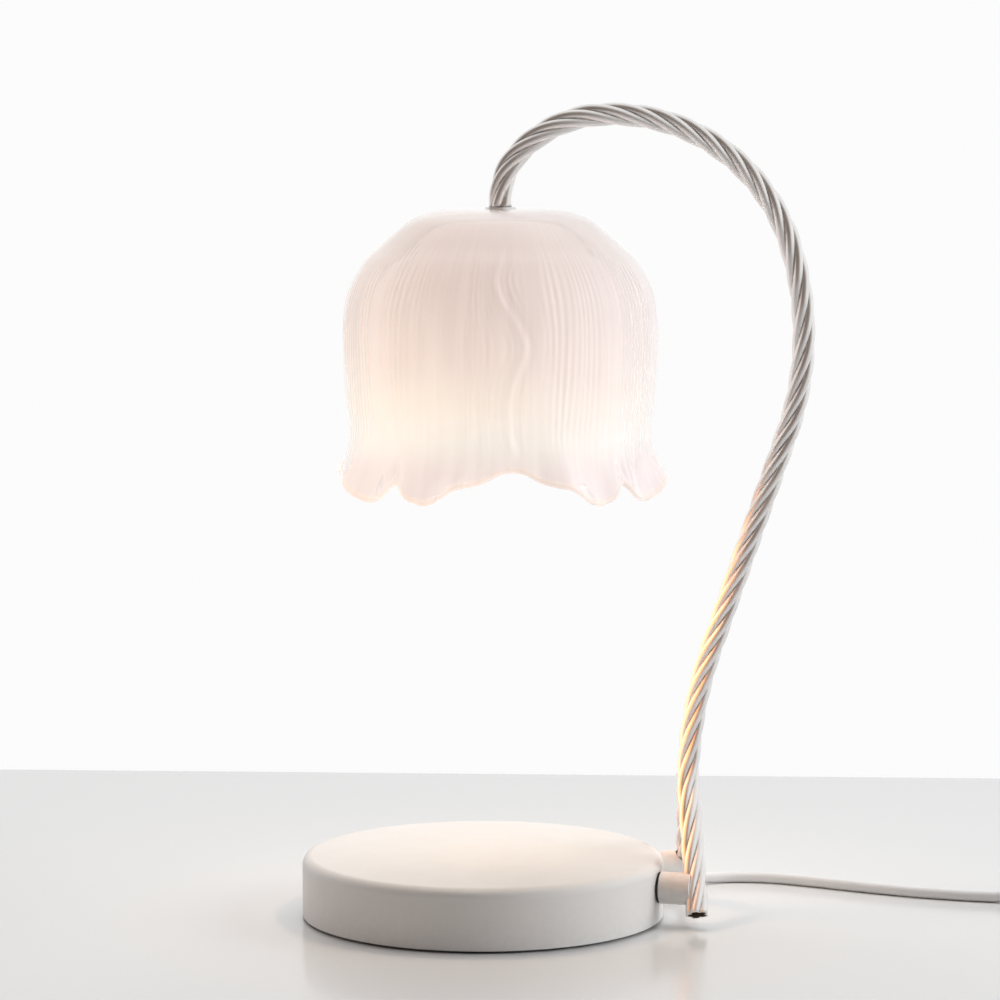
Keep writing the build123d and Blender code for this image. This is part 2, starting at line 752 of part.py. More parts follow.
tail_points = (
    (292.2, -63.5, 6.6),
    (281.1, -57.1, 8.2),
    (275.9, -44.5, 10.9),
    (279.4, -31.4, 13.7),
    (plug_start - relief_run - 4, *plug_axis),
    (plug_start, *plug_axis),
)
round_tube(rounded_route(lead_side_points), lead_radius, "lead_lamp_side")
round_tube(rounded_route(plug_side_points), lead_radius, "lead_plug_side")
round_tube(rounded_route(tail_points), lead_radius, "lead_tail")

lead_turn = Vector(block_x, block_x * tan(radians(relief_azimuth)), relief_height)
lead_end = Vector(block_x, block_y + block_size[1] / 2, relief_height)
with BuildLine() as inner_line:
    FilletPolyline(
        wall_point(relief_azimuth, relief_inside - relief_grip, relief_height),
        lead_turn,
        lead_end,
        radius=1.5 * (lead_turn - lead_end).length,
    )
round_tube(inner_line.wire(), lead_radius, "lead_inner")

with BuildPart() as lead_coil:
    with BuildSketch(Plane(origin=(*coil_centre, 0))):
        Circle(coil_outer)
        Circle(coil_inner, mode=Mode.SUBTRACT)
    extrude(amount=coil_height)
    fillet(lead_coil.edges(), lead_radius)
save(lead_coil, "lead_coil")

boss_spots = GridLocations(2 * dimmer_screw_x, 2 * dimmer_screw_y, 2, 2)
dimmer_floor = Plane(origin=(dimmer_x, dimmer_y, 0))
dimmer_ends = (
    Plane(origin=(dimmer_left, dimmer_y, lead_level), z_dir=(-1, 0, 0)),
    Plane(origin=(dimmer_right, dimmer_y, lead_level), z_dir=(1, 0, 0)),
)

with BuildPart() as dimmer_bottom:
    with BuildSketch(dimmer_floor):
        RectangleRounded(dimmer_size[0], dimmer_size[1], dimmer_corner)
    extrude(amount=lead_level)
    fillet(dimmer_bottom.edges().group_by(Axis.Z)[0], 1.25 * dimmer_wall)
    offset(amount=-dimmer_wall, openings=dimmer_bottom.faces().sort_by(Axis.Z)[-1])
    with BuildSketch(dimmer_floor.offset(dimmer_wall / 2)):
        with boss_spots:
            Circle(dimmer_boss)
    extrude(amount=lead_level - dimmer_wall / 2)
    with BuildSketch(dimmer_floor.offset(dimmer_wall / 2)):
        with GridLocations(rib_spacing, 0, 2, 1):
            Rectangle(dimmer_wall, board_size[1])
    extrude(amount=board_level - dimmer_wall / 2)
    with BuildSketch(dimmer_floor):
        with boss_spots:
            Circle(dimmer_screw_radius + fit_gap)
    extrude(amount=lead_level, mode=Mode.SUBTRACT)
    with BuildSketch(dimmer_floor):
        with boss_spots:
            Circle(2 * dimmer_screw_radius - fit_gap)
    extrude(amount=2 * dimmer_screw_radius, mode=Mode.SUBTRACT)
    with BuildSketch(*dimmer_ends):
        Circle(relief_neck + fit_gap)
    extrude(amount=-2 * dimmer_wall, mode=Mode.SUBTRACT)
save(dimmer_bottom, "dimmer_bottom")

with BuildPart() as dimmer_top:
    with BuildSketch(dimmer_floor.offset(lead_level)):
        RectangleRounded(dimmer_size[0], dimmer_size[1], dimmer_corner)
    extrude(amount=dimmer_size[2] - lead_level)
    fillet(dimmer_top.edges().group_by(Axis.Z)[-1], 2 * dimmer_wall)
    offset(amount=-dimmer_wall, openings=dimmer_top.faces().sort_by(Axis.Z)[0])
    with BuildSketch(dimmer_floor.offset(lead_level)):
        with boss_spots:
            Circle(dimmer_boss)
    extrude(amount=dimmer_size[2] - lead_level - dimmer_wall / 2)
    with BuildSketch(dimmer_floor.offset(lead_level)):
        with boss_spots:
            Circle(dimmer_screw_radius + fit_gap)
    extrude(amount=dimmer_size[2] / 2 - dimmer_wall, mode=Mode.SUBTRACT)
    with BuildSketch(dimmer_floor.offset(dimmer_size[2])):
        Circle(shaft_radius + loose_gap)
    extrude(amount=-2 * dimmer_wall, mode=Mode.SUBTRACT)
    with BuildSketch(*dimmer_ends):
        Circle(relief_neck + fit_gap)
    extrude(amount=-2 * dimmer_wall, mode=Mode.SUBTRACT)
save(dimmer_top, "dimmer_top")

with BuildPart() as dimmer_screws:
    with BuildSketch(dimmer_floor.offset(dimmer_screw_radius)):
        with boss_spots:
            Circle(2 * dimmer_screw_radius - 2 * fit_gap)
    extrude(amount=dimmer_screw_radius)
    with BuildSketch(dimmer_floor.offset(2 * dimmer_screw_radius)):
        with boss_spots:
            Circle(dimmer_screw_radius)
    extrude(amount=dimmer_size[2] / 2)
save(dimmer_screws, "dimmer_screws")

with BuildPart() as dimmer_reliefs:
    for end in dimmer_ends:
        with BuildSketch(end.offset(-dimmer_wall - fit_gap)):
            Circle(relief_neck + 1)
        extrude(amount=-dimmer_wall)
        with BuildSketch(end.offset(-dimmer_wall - fit_gap)):
            Circle(relief_neck)
        extrude(amount=dimmer_wall + 2 * fit_gap)
        with BuildSketch(end.offset(fit_gap)):
            Circle(relief_neck + 1)
        with BuildSketch(end.offset(dimmer_relief)):
            Circle(relief_tip)
        loft()
save(dimmer_reliefs, "dimmer_reliefs")

board_top = board_level + board_size[2]
with BuildPart() as dimmer_board:
    with BuildSketch(dimmer_floor.offset(board_level)):
        Rectangle(board_size[0], board_size[1])
    extrude(amount=board_size[2])
save(dimmer_board, "dimmer_board")

with BuildPart() as dimmer_control:
    with BuildSketch(dimmer_floor.offset(board_top)):
        RectangleRounded(control_size[0], control_size[1], 1)
    extrude(amount=control_size[2])
    with BuildSketch(dimmer_floor.offset(board_top + control_size[2])):
        Circle(2 * shaft_radius)
    extrude(amount=dimmer_wall)
    with BuildSketch(dimmer_floor.offset(board_top + dimmer_wall)):
        Circle(shaft_radius + fit_gap)
    extrude(amount=control_size[2], mode=Mode.SUBTRACT)
save(dimmer_control, "dimmer_control")

knob_level = dimmer_size[2] + loose_gap
with BuildPart() as dimmer_shaft:
    with BuildSketch(dimmer_floor.offset(board_top + dimmer_wall + loose_gap)):
        Circle(shaft_radius)
    extrude(amount=knob_level + knob_height / 2 - board_top - dimmer_wall - loose_gap)
save(dimmer_shaft, "dimmer_shaft")

with BuildPart() as dimmer_knob:
    with BuildSketch(dimmer_floor.offset(knob_level)):
        Circle(knob_radius)
        with PolarLocations(knob_radius, knob_flutes):
            Circle(knob_radius / knob_flutes, mode=Mode.SUBTRACT)
    extrude(amount=knob_height)
    with BuildSketch(dimmer_floor.offset(knob_level + knob_height)):
        Circle(knob_radius * 0.75)
    extrude(amount=-dimmer_wall / 2, mode=Mode.SUBTRACT)
    with BuildSketch(dimmer_floor.offset(knob_level + knob_height - dimmer_wall / 2)):
        with Locations((-knob_radius / 2, 0)):
            SlotOverall(knob_radius / 3, dimmer_wall)
    extrude(amount=dimmer_wall / 2)
    with BuildSketch(dimmer_floor.offset(knob_level)):
        Circle(shaft_radius)
    extrude(amount=knob_height / 2, mode=Mode.SUBTRACT)
save(dimmer_knob, "dimmer_knob")

plug_plane = Plane(origin=(plug_start, *plug_axis), x_dir=(0, 1, 0), z_dir=(1, 0, 0))
with BuildPart() as plug_body:
    with BuildSketch(plug_plane):
        Circle(relief_tip)
    with BuildSketch(plug_plane.offset(plug_relief)):
        Circle(relief_tip + 2)
    loft()
    with BuildSketch(plug_plane.offset(plug_relief)):
        RectangleRounded(*plug_rear, plug_rear[1] / 3)
    with BuildSketch(plug_plane.offset(plug_relief + plug_length)):
        RectangleRounded(*plug_front, plug_front[1] / 3)
    loft()
    fillet(plug_body.edges().group_by(Axis.X)[-1], 1)
save(plug_body, "plug_body")

with BuildPart() as plug_pins:
    with BuildSketch(plug_plane.offset(plug_relief + plug_length)):
        with GridLocations(pin_spacing, 0, 2, 1):
            Circle(pin_radius)
    extrude(amount=pin_length)
    fillet(plug_pins.edges().group_by(Axis.X)[-1], pin_radius / 2)
save(plug_pins, "plug_pins")
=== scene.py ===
"""Looks of a candle warmer lamp: petal glass shade, twisted arm, round base and mains lead.

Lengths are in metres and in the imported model's frame: the origin is on the table under the centre of the
round base, +X points from the base to the arm's foot, and the front is -Y.
"""

import logging
from dataclasses import dataclass, field
from enum import Enum
from math import acos, cos, pi, radians, sin, tan
from typing import Any, Sequence

import bpy
import numpy as np
from mathutils import Matrix, Vector

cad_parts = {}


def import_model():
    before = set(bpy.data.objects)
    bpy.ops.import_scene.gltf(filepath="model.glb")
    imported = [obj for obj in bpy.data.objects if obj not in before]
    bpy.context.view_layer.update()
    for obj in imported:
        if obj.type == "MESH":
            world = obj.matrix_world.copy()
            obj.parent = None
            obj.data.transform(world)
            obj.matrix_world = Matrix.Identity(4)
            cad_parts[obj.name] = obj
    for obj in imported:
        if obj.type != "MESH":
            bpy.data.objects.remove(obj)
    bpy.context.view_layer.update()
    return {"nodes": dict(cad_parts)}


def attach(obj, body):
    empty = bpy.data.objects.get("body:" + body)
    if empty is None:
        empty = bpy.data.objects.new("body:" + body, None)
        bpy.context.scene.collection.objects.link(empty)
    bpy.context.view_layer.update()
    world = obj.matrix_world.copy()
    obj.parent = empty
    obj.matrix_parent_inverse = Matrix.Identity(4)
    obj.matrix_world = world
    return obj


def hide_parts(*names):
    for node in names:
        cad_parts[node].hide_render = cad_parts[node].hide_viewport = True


LOG = logging.getLogger("candle_warmer")
MM = 0.001
Colour = tuple[float, float, float]
Point = tuple[float, float, float]
# Size, number round the axis, phase, and shift with each millimetre of height
Wave = tuple[float, float, float, float]


# The body that every piece built here rides on; the bulb's and the knob's nodes keep their own
LAMP_BODY = "lamp"


class Slot(Enum):
    """Names of material slots; nothing in this script uses them."""

    PAINT = "white_paint"
    GLASS = "opal_glass"
    LEAD = "white_pvc"


# ------------------------------------------------------------------ node tree helpers
class Tree:
    """A node tree with short ways to add nodes and join sockets."""

    def __init__(self, tree: bpy.types.NodeTree) -> None:
        """Wrap a node tree.

        Args:
            tree: The material's, world's or group's node tree.
        """
        self.tree = tree

    def add(self, kind: str, **settings: Any) -> bpy.types.Node:
        """Add a node.

        Args:
            kind: Blender's node type name.
            settings: Properties of the node.

        Returns:
            The new node.
        """
        node = self.tree.nodes.new(kind)
        for name, value in settings.items():
            setattr(node, name, value)
        return node

    def join(self, source: bpy.types.NodeSocket, target: bpy.types.NodeSocket) -> None:
        """Link one socket to another."""
        self.tree.links.new(source, target)

    def value(self, operation: str, first: Any, second: Any = None) -> bpy.types.NodeSocket:
        """Add a Math node fed by sockets or numbers.

        Args:
            operation: The Math node's operation.
            first: Socket or number for the first input.
            second: Socket or number for the second input.

        Returns:
            The node's output socket.
        """
        node = self.add("ShaderNodeMath", operation=operation)
        for socket, given in zip(node.inputs, (first, second)):
            if isinstance(given, bpy.types.NodeSocket):
                self.join(given, socket)
            elif given is not None:
                socket.default_value = given
        return node.outputs[0]

    def spread(self, source: bpy.types.NodeSocket, low: float, high: float) -> bpy.types.NodeSocket:
        """Map a range to 0..1 with soft ends.

        Args:
            source: The value to map.
            low: Input that becomes 0.
            high: Input that becomes 1.

        Returns:
            The mapped value.
        """
        node = self.add("ShaderNodeMapRange", interpolation_type="SMOOTHSTEP")
        self.join(source, node.inputs["Value"])
        node.inputs["From Min"].default_value = low
        node.inputs["From Max"].default_value = high
        return node.outputs["Result"]

    def mix(self, share: Any, first: Any, second: Any) -> bpy.types.NodeSocket:
        """Mix two colours.

        Args:
            share: Socket or number, how much of the second colour.
            first: Socket or colour.
            second: Socket or colour.

        Returns:
            The mixed colour.
        """
        node = self.add("ShaderNodeMix", data_type="RGBA")
        for socket, given in zip((node.inputs[0], node.inputs[6], node.inputs[7]), (share, first, second)):
            if isinstance(given, bpy.types.NodeSocket):
                self.join(given, socket)
            elif isinstance(given, (int, float)):
                socket.default_value = given
            else:
                socket.default_value = (*given, 1.0)
        return node.outputs[2]


class Group:
    """A shader node group that several finishes place with their own values."""

    _made: dict[str, bpy.types.NodeTree] = {}

    def __init__(
        self,
        name: str,
        inputs: Sequence[tuple[str, str, Any]],
        outputs: Sequence[tuple[str, str]],
    ) -> None:
        """Start a group.

        Args:
            name: The group's name.
            inputs: Name, socket type and default of each input.
            outputs: Name and socket type of each output.
        """
        self.tree = bpy.data.node_groups.new(name, "ShaderNodeTree")
        for label, kind, default in inputs:
            socket = self.tree.interface.new_socket(label, in_out="INPUT", socket_type=kind)
            socket.default_value = default
        for label, kind in outputs:
            self.tree.interface.new_socket(label, in_out="OUTPUT", socket_type=kind)
        self.inside = Tree(self.tree)
        self.source = self.inside.add("NodeGroupInput")
        self.target = self.inside.add("NodeGroupOutput")
        Group._made[name] = self.tree

    @classmethod
    def place(cls, tree: Tree, name: str, **values: Any) -> bpy.types.Node:
        """Place a group in a material.

        Args:
            tree: The material's tree.
            name: The group's name.
            values: Input values, with underscores for spaces.

        Returns:
            The group node.
        """
        node = tree.add("ShaderNodeGroup", node_tree=cls._made[name])
        for label, value in values.items():
            socket = node.inputs[label.replace("_", " ")]
            if isinstance(value, bpy.types.NodeSocket):
                tree.join(value, socket)
            else:
                socket.default_value = (*value, 1.0) if isinstance(value, tuple) else value
        return node


def make_groups() -> None:
    """Build the groups that the finishes share."""
    grain = Group(
        "Surface grain",
        [("Size", "NodeSocketFloat", 0.001), ("Unevenness", "NodeSocketFloat", 0.5)],
        [("Height", "NodeSocketFloat"), ("Mottle", "NodeSocketFloat")],
    )
    t = grain.inside
    place = t.add("ShaderNodeTexCoord").outputs["Object"]
    scale = t.value("DIVIDE", 1.0, grain.source.outputs["Size"])
    fine = t.add("ShaderNodeTexNoise")
    fine.inputs["Detail"].default_value = 2.0
    broad = t.add("ShaderNodeTexNoise")
    broad.inputs["Detail"].default_value = 3.0
    t.join(place, fine.inputs["Vector"])
    t.join(place, broad.inputs["Vector"])
    t.join(scale, fine.inputs["Scale"])
    t.join(t.value("DIVIDE", scale, 14.0), broad.inputs["Scale"])
    lifted = t.value("MULTIPLY", broad.outputs["Fac"], grain.source.outputs["Unevenness"])
    t.join(t.value("ADD", fine.outputs["Fac"], lifted), grain.target.inputs["Height"])
    t.join(t.spread(broad.outputs["Fac"], 0.35, 0.65), grain.target.inputs["Mottle"])

    tone = Group(
        "Tone drift",
        [
            ("Colour", "NodeSocketColor", (0.8, 0.8, 0.8, 1.0)),
            ("Second", "NodeSocketColor", (0.7, 0.7, 0.7, 1.0)),
            ("Size", "NodeSocketFloat", 0.02),
            ("Share", "NodeSocketFloat", 0.5),
        ],
        [("Colour", "NodeSocketColor")],
    )
    t = tone.inside
    cloud = t.add("ShaderNodeTexNoise")
    cloud.inputs["Detail"].default_value = 4.0
    t.join(t.add("ShaderNodeTexCoord").outputs["Object"], cloud.inputs["Vector"])
    t.join(t.value("DIVIDE", 1.0, tone.source.outputs["Size"]), cloud.inputs["Scale"])
    share = t.value("MULTIPLY", t.spread(cloud.outputs["Fac"], 0.3, 0.7), tone.source.outputs["Share"])
    drifted = t.mix(share, tone.source.outputs["Colour"], tone.source.outputs["Second"])
    t.join(drifted, tone.target.inputs["Colour"])

    # Pointiness mask for edge wear, and with its ends reversed for the painted shade in grooves
    wear = Group(
        "Edge wear and groove shade",
        [("Start", "NodeSocketFloat", 0.52), ("End", "NodeSocketFloat", 0.6)],
        [("Mask", "NodeSocketFloat")],
    )
    t = wear.inside
    sharp = t.add("ShaderNodeMapRange")
    t.join(t.add("ShaderNodeNewGeometry").outputs["Pointiness"], sharp.inputs["Value"])
    t.join(wear.source.outputs["Start"], sharp.inputs["From Min"])
    t.join(wear.source.outputs["End"], sharp.inputs["From Max"])
    patchy = t.add("ShaderNodeTexNoise")
    patchy.inputs["Scale"].default_value = 420.0
    t.join(t.add("ShaderNodeTexCoord").outputs["Object"], patchy.inputs["Vector"])
    broken = t.value("MULTIPLY", sharp.outputs["Result"], t.spread(patchy.outputs["Fac"], 0.35, 0.6))
    t.join(broken, wear.target.inputs["Mask"])

    streak = Group(
        "Drawn streaks",
        [
            ("Around", "NodeSocketFloat", 60.0),
            ("Along", "NodeSocketFloat", 12.0),
            ("Axis X", "NodeSocketFloat", 0.0),
        ],
        [("Streak", "NodeSocketFloat")],
    )
    t = streak.inside
    axes = t.add("ShaderNodeSeparateXYZ")
    t.join(t.add("ShaderNodeTexCoord").outputs["Object"], axes.inputs[0])
    off = t.value("SUBTRACT", axes.outputs["X"], streak.source.outputs["Axis X"])
    turn = t.value("ARCTAN2", axes.outputs["Y"], off)
    packed = t.add("ShaderNodeCombineXYZ")
    t.join(t.value("MULTIPLY", turn, streak.source.outputs["Around"]), packed.inputs["X"])
    t.join(t.value("MULTIPLY", axes.outputs["Z"], streak.source.outputs["Along"]), packed.inputs["Y"])
    threads = t.add("ShaderNodeTexNoise")
    threads.inputs["Scale"].default_value = 1.0
    threads.inputs["Detail"].default_value = 2.0
    t.join(packed.outputs[0], threads.inputs["Vector"])
    t.join(t.spread(threads.outputs["Fac"], 0.3, 0.7), streak.target.inputs["Streak"])


# ------------------------------------------------------------------ finishes
@dataclass(frozen=True)
class Finish:
    """A plain shaded finish with grain and drifting tone, the base of the others."""

    name: str
    colour: Colour
    second: Colour
    roughness: float = 0.5
    metallic: float = 0.0
    coat: float = 0.0
    grain_size: float = 0.001
    grain_depth: float = 0.00003
    drift_size: float = 0.03
    drift_share: float = 0.5
    coat_roughness: float = 0.08
    grain_unevenness: float = 0.6
    # The roughness runs between these shares of its value
    smoother: float = 0.9
    rougher: float = 1.12

    def build(self) -> bpy.types.Material:
        """Make the material.

        Returns:
            The finished material.
        """
        material = bpy.data.materials.new(self.name)
        material.use_nodes = True
        tree = Tree(material.node_tree)
        shader = material.node_tree.nodes["Principled BSDF"]
        shader.inputs["Metallic"].default_value = self.metallic
        shader.inputs["Coat Weight"].default_value = self.coat
        shader.inputs["Coat Roughness"].default_value = self.coat_roughness
        self.colour_in(tree, shader)
        self.relief_in(tree, shader)
        self.extra(tree, shader)
        return material

    def tone(self, tree: Tree) -> bpy.types.NodeSocket:
        """Place the drifting tone.

        Args:
            tree: The material's tree.

        Returns:
            The tone's colour socket.
        """
        drift = Group.place(
            tree,
            "Tone drift",
            Colour=self.colour,
            Second=self.second,
            Size=self.drift_size,
            Share=self.drift_share,
        )
        return drift.outputs["Colour"]

    def colour_in(self, tree: Tree, shader: bpy.types.Node) -> None:
        """Feed the drifting tone to the shader's colour."""
        tree.join(self.tone(tree), shader.inputs["Base Color"])

    def relief_in(self, tree: Tree, shader: bpy.types.Node) -> None:
        """Feed the grain to the shader's roughness and bump.

        Args:
            tree: The material's tree.
            shader: The material's shader.
        """
        grain = Group.place(
            tree, "Surface grain", Size=self.grain_size, Unevenness=self.grain_unevenness
        )
        rough = tree.add("ShaderNodeMapRange")
        tree.join(grain.outputs["Mottle"], rough.inputs["Value"])
        rough.inputs["To Min"].default_value = self.roughness * self.smoother
        rough.inputs["To Max"].default_value = min(1.0, self.roughness * self.rougher)
        tree.join(rough.outputs["Result"], shader.inputs["Roughness"])
        bump = tree.add("ShaderNodeBump")
        bump.inputs["Strength"].default_value = 1.0
        bump.inputs["Distance"].default_value = self.grain_depth
        tree.join(grain.outputs["Height"], bump.inputs["Height"])
        tree.join(bump.outputs["Normal"], shader.inputs["Normal"])

    def extra(self, tree: Tree, shader: bpy.types.Node) -> None:
        """Leave the plain finish as it is."""


@dataclass(frozen=True)
class PowderPaint(Finish):
    """Satin powder coat: fine orange peel, a little thinner and darker where edges are handled, with painted
    shade in concave grooves when its share is set.
    """

    edge: Colour = (0.74, 0.72, 0.7)
    edge_share: float = 0.35
    # Colour of the painted shade that darkens concave grooves, and how much of it is laid on
    groove: Colour = (0.34, 0.31, 0.29)
    groove_shade_share: float = 0.0
    # Pointiness at which an edge's wear, and a groove's painted shade, start and are full
    edge_sharp: tuple[float, float] = (0.53, 0.62)
    groove_shade_sharp: tuple[float, float] = (0.492, 0.42)

    def colour_in(self, tree: Tree, shader: bpy.types.Node) -> None:
        """Feed the tone with its handled edges and the painted shade in its grooves.

        Args:
            tree: The material's tree.
            shader: The material's shader.
        """
        tone = self.tone(tree)
        start, end = self.edge_sharp
        worn = Group.place(tree, "Edge wear and groove shade", Start=start, End=end)
        share = tree.value("MULTIPLY", worn.outputs["Mask"], self.edge_share)
        colour = tree.mix(share, tone, self.edge)
        # Painted shade: concave grooves darkened towards the groove colour
        if self.groove_shade_share:
            start, end = self.groove_shade_sharp
            groove_shade = Group.place(tree, "Edge wear and groove shade", Start=start, End=end)
            share = tree.value("MULTIPLY", groove_shade.outputs["Mask"], self.groove_shade_share)
            colour = tree.mix(share, colour, self.groove)
        tree.join(colour, shader.inputs["Base Color"])


@dataclass(frozen=True)
class TurnedMetal(Finish):
    """Turned or plated metal with fine tool streaks round its axis."""

    streak_share: float = 0.35
    streaks_around: float = 30.0
    streaks_along: float = 9000.0
    axis_x: float = 0.0

    def colour_in(self, tree: Tree, shader: bpy.types.Node) -> None:
        """Feed the streaked metal colour.

        Args:
            tree: The material's tree.
            shader: The material's shader.
        """
        marks = Group.place(
            tree,
            "Drawn streaks",
            Around=self.streaks_around,
            Along=self.streaks_along,
            Axis_X=self.axis_x,
        )
        share = tree.value("MULTIPLY", marks.outputs["Streak"], self.streak_share)
        tree.join(tree.mix(share, self.colour, self.second), shader.inputs["Base Color"])


@dataclass(frozen=True)
class ClearGlass(Finish):
    """Clear pressed glass."""

    ior: float = 1.46

    def extra(self, tree: Tree, shader: bpy.types.Node) -> None:
        """Let light through."""
        shader.inputs["Transmission Weight"].default_value = 1.0
        shader.inputs["IOR"].default_value = self.ior


@dataclass(frozen=True)
class MilkGlass(Finish):
    """Milky glass under a glossy skin: cloudy streaks, and painted glow in the emission for the bulb's light
    soaking through, by height.
    """

    axis_x: float = 0.0073
    streak_share: float = 0.35
    streaks_around: float = 36.0
    streaks_along: float = 14.0
    # Share of the painted glow that a streak holds back
    streak_dim: float = 0.08
    clearness: float = 0.22
    ior: float = 1.15
    coat_ior: float = 1.5
    coat_roughness: float = 0.04
    glow_strength: float = 0.58
    # Painted light added to the glow where the wall is seen edge on
    painted_edge_glow: Colour = (0.96, 0.90, 0.88)
    edge_share: float = 0.5
    edge_from: float = 0.72
    # Half the width over which one side's painted glow turns into the other's
    painted_side_reach: float = 0.05
    # Painted glow, as tints for the side away from the window and for the window's side
    painted_side_tint: tuple[Colour, Colour] = ((1.12, 1.05, 0.98), (0.80, 0.79, 0.81))
    low: float = 0.176
    high: float = 0.294
    # Share of the height from low to high, and the painted glow there
    glow: tuple[tuple[float, Colour], ...] = (
        (0.00, (0.90, 0.82, 0.81)),
        (0.12, (0.92, 0.83, 0.80)),
        (0.22, (1.00, 1.00, 0.92)),
        (0.34, (1.00, 0.93, 0.82)),
        (0.50, (0.89, 0.78, 0.71)),
        (0.70, (0.78, 0.68, 0.63)),
        (0.88, (0.56, 0.46, 0.41)),
        (1.00, (0.58, 0.51, 0.47)),
    )

    def colour_in(self, tree: Tree, shader: bpy.types.Node) -> None:
        """Feed the streaked milk colour, and the painted glow that changes with height.

        Args:
            tree: The material's tree.
            shader: The material's shader.
        """
        streak = Group.place(
            tree,
            "Drawn streaks",
            Around=self.streaks_around,
            Along=self.streaks_along,
            Axis_X=self.axis_x,
        )
        tone = self.tone(tree)
        share = tree.value("MULTIPLY", streak.outputs["Streak"], self.streak_share)
        tree.join(tree.mix(share, tone, self.second), shader.inputs["Base Color"])
        axes = tree.add("ShaderNodeSeparateXYZ")
        tree.join(tree.add("ShaderNodeTexCoord").outputs["Object"], axes.inputs[0])
        place = tree.add("ShaderNodeMapRange")
        tree.join(axes.outputs["Z"], place.inputs["Value"])
        place.inputs["From Min"].default_value = self.low
        place.inputs["From Max"].default_value = self.high
        ramp = tree.add("ShaderNodeValToRGB")
        stops = ramp.color_ramp.elements
        while len(stops) < len(self.glow):
            stops.new(0.5)
        for stop, (height, colour) in zip(stops, self.glow):
            stop.position = height
            stop.color = (*colour, 1.0)
        tree.join(place.outputs["Result"], ramp.inputs["Fac"])
        # Painted light: the glow grows where the wall is seen edge on
        facing = tree.add("ShaderNodeLayerWeight")
        facing.inputs["Blend"].default_value = 0.5
        edge = tree.spread(facing.outputs["Facing"], self.edge_from, 1.0)
        gathered = tree.value("MULTIPLY", edge, self.edge_share)
        lifted = tree.mix(gathered, ramp.outputs["Color"], self.painted_edge_glow)
        # Painted light: the glow is brighter on the side away from the window
        across = tree.add("ShaderNodeMapRange")
        tree.join(axes.outputs["X"], across.inputs["Value"])
        across.inputs["From Min"].default_value = self.axis_x - self.painted_side_reach
        across.inputs["From Max"].default_value = self.axis_x + self.painted_side_reach
        side = tree.mix(across.outputs["Result"], *self.painted_side_tint)
        held = tree.value("MULTIPLY", streak.outputs["Streak"], self.streak_dim)
        dim = tree.value("SUBTRACT", 1.0, held)
        tinted = tree.add("ShaderNodeVectorMath", operation="MULTIPLY")
        tree.join(lifted, tinted.inputs[0])
        tree.join(side, tinted.inputs[1])
        painted_glow = tree.add("ShaderNodeVectorMath", operation="SCALE")
        tree.join(tinted.outputs["Vector"], painted_glow.inputs[0])
        tree.join(dim, painted_glow.inputs["Scale"])
        tree.join(painted_glow.outputs["Vector"], shader.inputs["Emission Color"])
        shader.inputs["Emission Strength"].default_value = self.glow_strength

    def extra(self, tree: Tree, shader: bpy.types.Node) -> None:
        """Let part of the light through, scattered, under a clear coat.

        Args:
            tree: The material's tree.
            shader: The material's shader.
        """
        shader.inputs["Transmission Weight"].default_value = self.clearness
        shader.inputs["IOR"].default_value = self.ior
        shader.inputs["Coat IOR"].default_value = self.coat_ior


@dataclass(frozen=True)
class Glowing(Finish):
    """A lit surface of the bulb."""

    glow: Colour = (1.0, 0.78, 0.55)
    strength: float = 2.0
    cloud_size: float = 0.004
    # Share of the glow that is left in its dimmer clouds
    dimmer: float = 0.8

    def extra(self, tree: Tree, shader: bpy.types.Node) -> None:
        """Light the surface, a little unevenly.

        Args:
            tree: The material's tree.
            shader: The material's shader.
        """
        grain = Group.place(tree, "Surface grain", Size=self.cloud_size, Unevenness=1.0)
        clouded = tuple(self.dimmer * part for part in self.glow)
        tree.join(tree.mix(grain.outputs["Mottle"], self.glow, clouded), shader.inputs["Emission Color"])
        shader.inputs["Emission Strength"].default_value = self.strength


PAINT = PowderPaint(
    name="white_powder_paint",
    colour=(0.84, 0.825, 0.81),
    second=(0.80, 0.785, 0.77),
    roughness=0.42,
    coat=0.15,
    grain_size=0.0009,
    grain_depth=0.00004,
    drift_size=0.05,
)
SATIN = PowderPaint(
    name="white_satin_paint",
    colour=(0.86, 0.845, 0.83),
    second=(0.82, 0.80, 0.785),
    roughness=0.34,
    metallic=0.8,
    coat=0.3,
    edge_share=0.1,
    # Strong painted shade in the twisted tube's grooves
    groove_shade_share=0.9,
    grain_size=0.0012,
    grain_depth=0.00002,
    drift_size=0.02,
)
ZINC = TurnedMetal("bright_zinc", (0.62, 0.63, 0.65), (0.48, 0.49, 0.52), 0.32, 1.0, grain_size=0.0006)
IRON = Finish(
    name="cast_iron",
    colour=(0.055, 0.053, 0.052),
    second=(0.09, 0.075, 0.065),
    roughness=0.75,
    metallic=0.6,
    grain_size=0.0018,
    grain_depth=0.0002,
)
BARE = Finish(
    name="bare_steel",
    colour=(0.10, 0.075, 0.05),
    second=(0.06, 0.043, 0.028),
    roughness=0.7,
    metallic=0.3,
    grain_size=0.0012,
    grain_depth=0.0001,
)
FOAM = Finish(
    name="black_foam",
    colour=(0.045, 0.043, 0.042),
    second=(0.06, 0.058, 0.055),
    roughness=0.9,
    grain_size=0.0011,
    grain_depth=0.00015,
)
GASKET = Finish("black_gasket", (0.02, 0.02, 0.02), (0.03, 0.03, 0.03), 0.7, grain_size=0.0008)
NYLON = Finish("natural_nylon", (0.70, 0.67, 0.58), (0.64, 0.60, 0.50), 0.45, grain_size=0.0014)
BRASS = TurnedMetal("brass", (0.72, 0.53, 0.24), (0.58, 0.41, 0.17), 0.28, 1.0, grain_size=0.0006)
NICKEL = TurnedMetal("nickel", (0.66, 0.64, 0.60), (0.54, 0.52, 0.49), 0.2, 1.0, grain_size=0.0005)
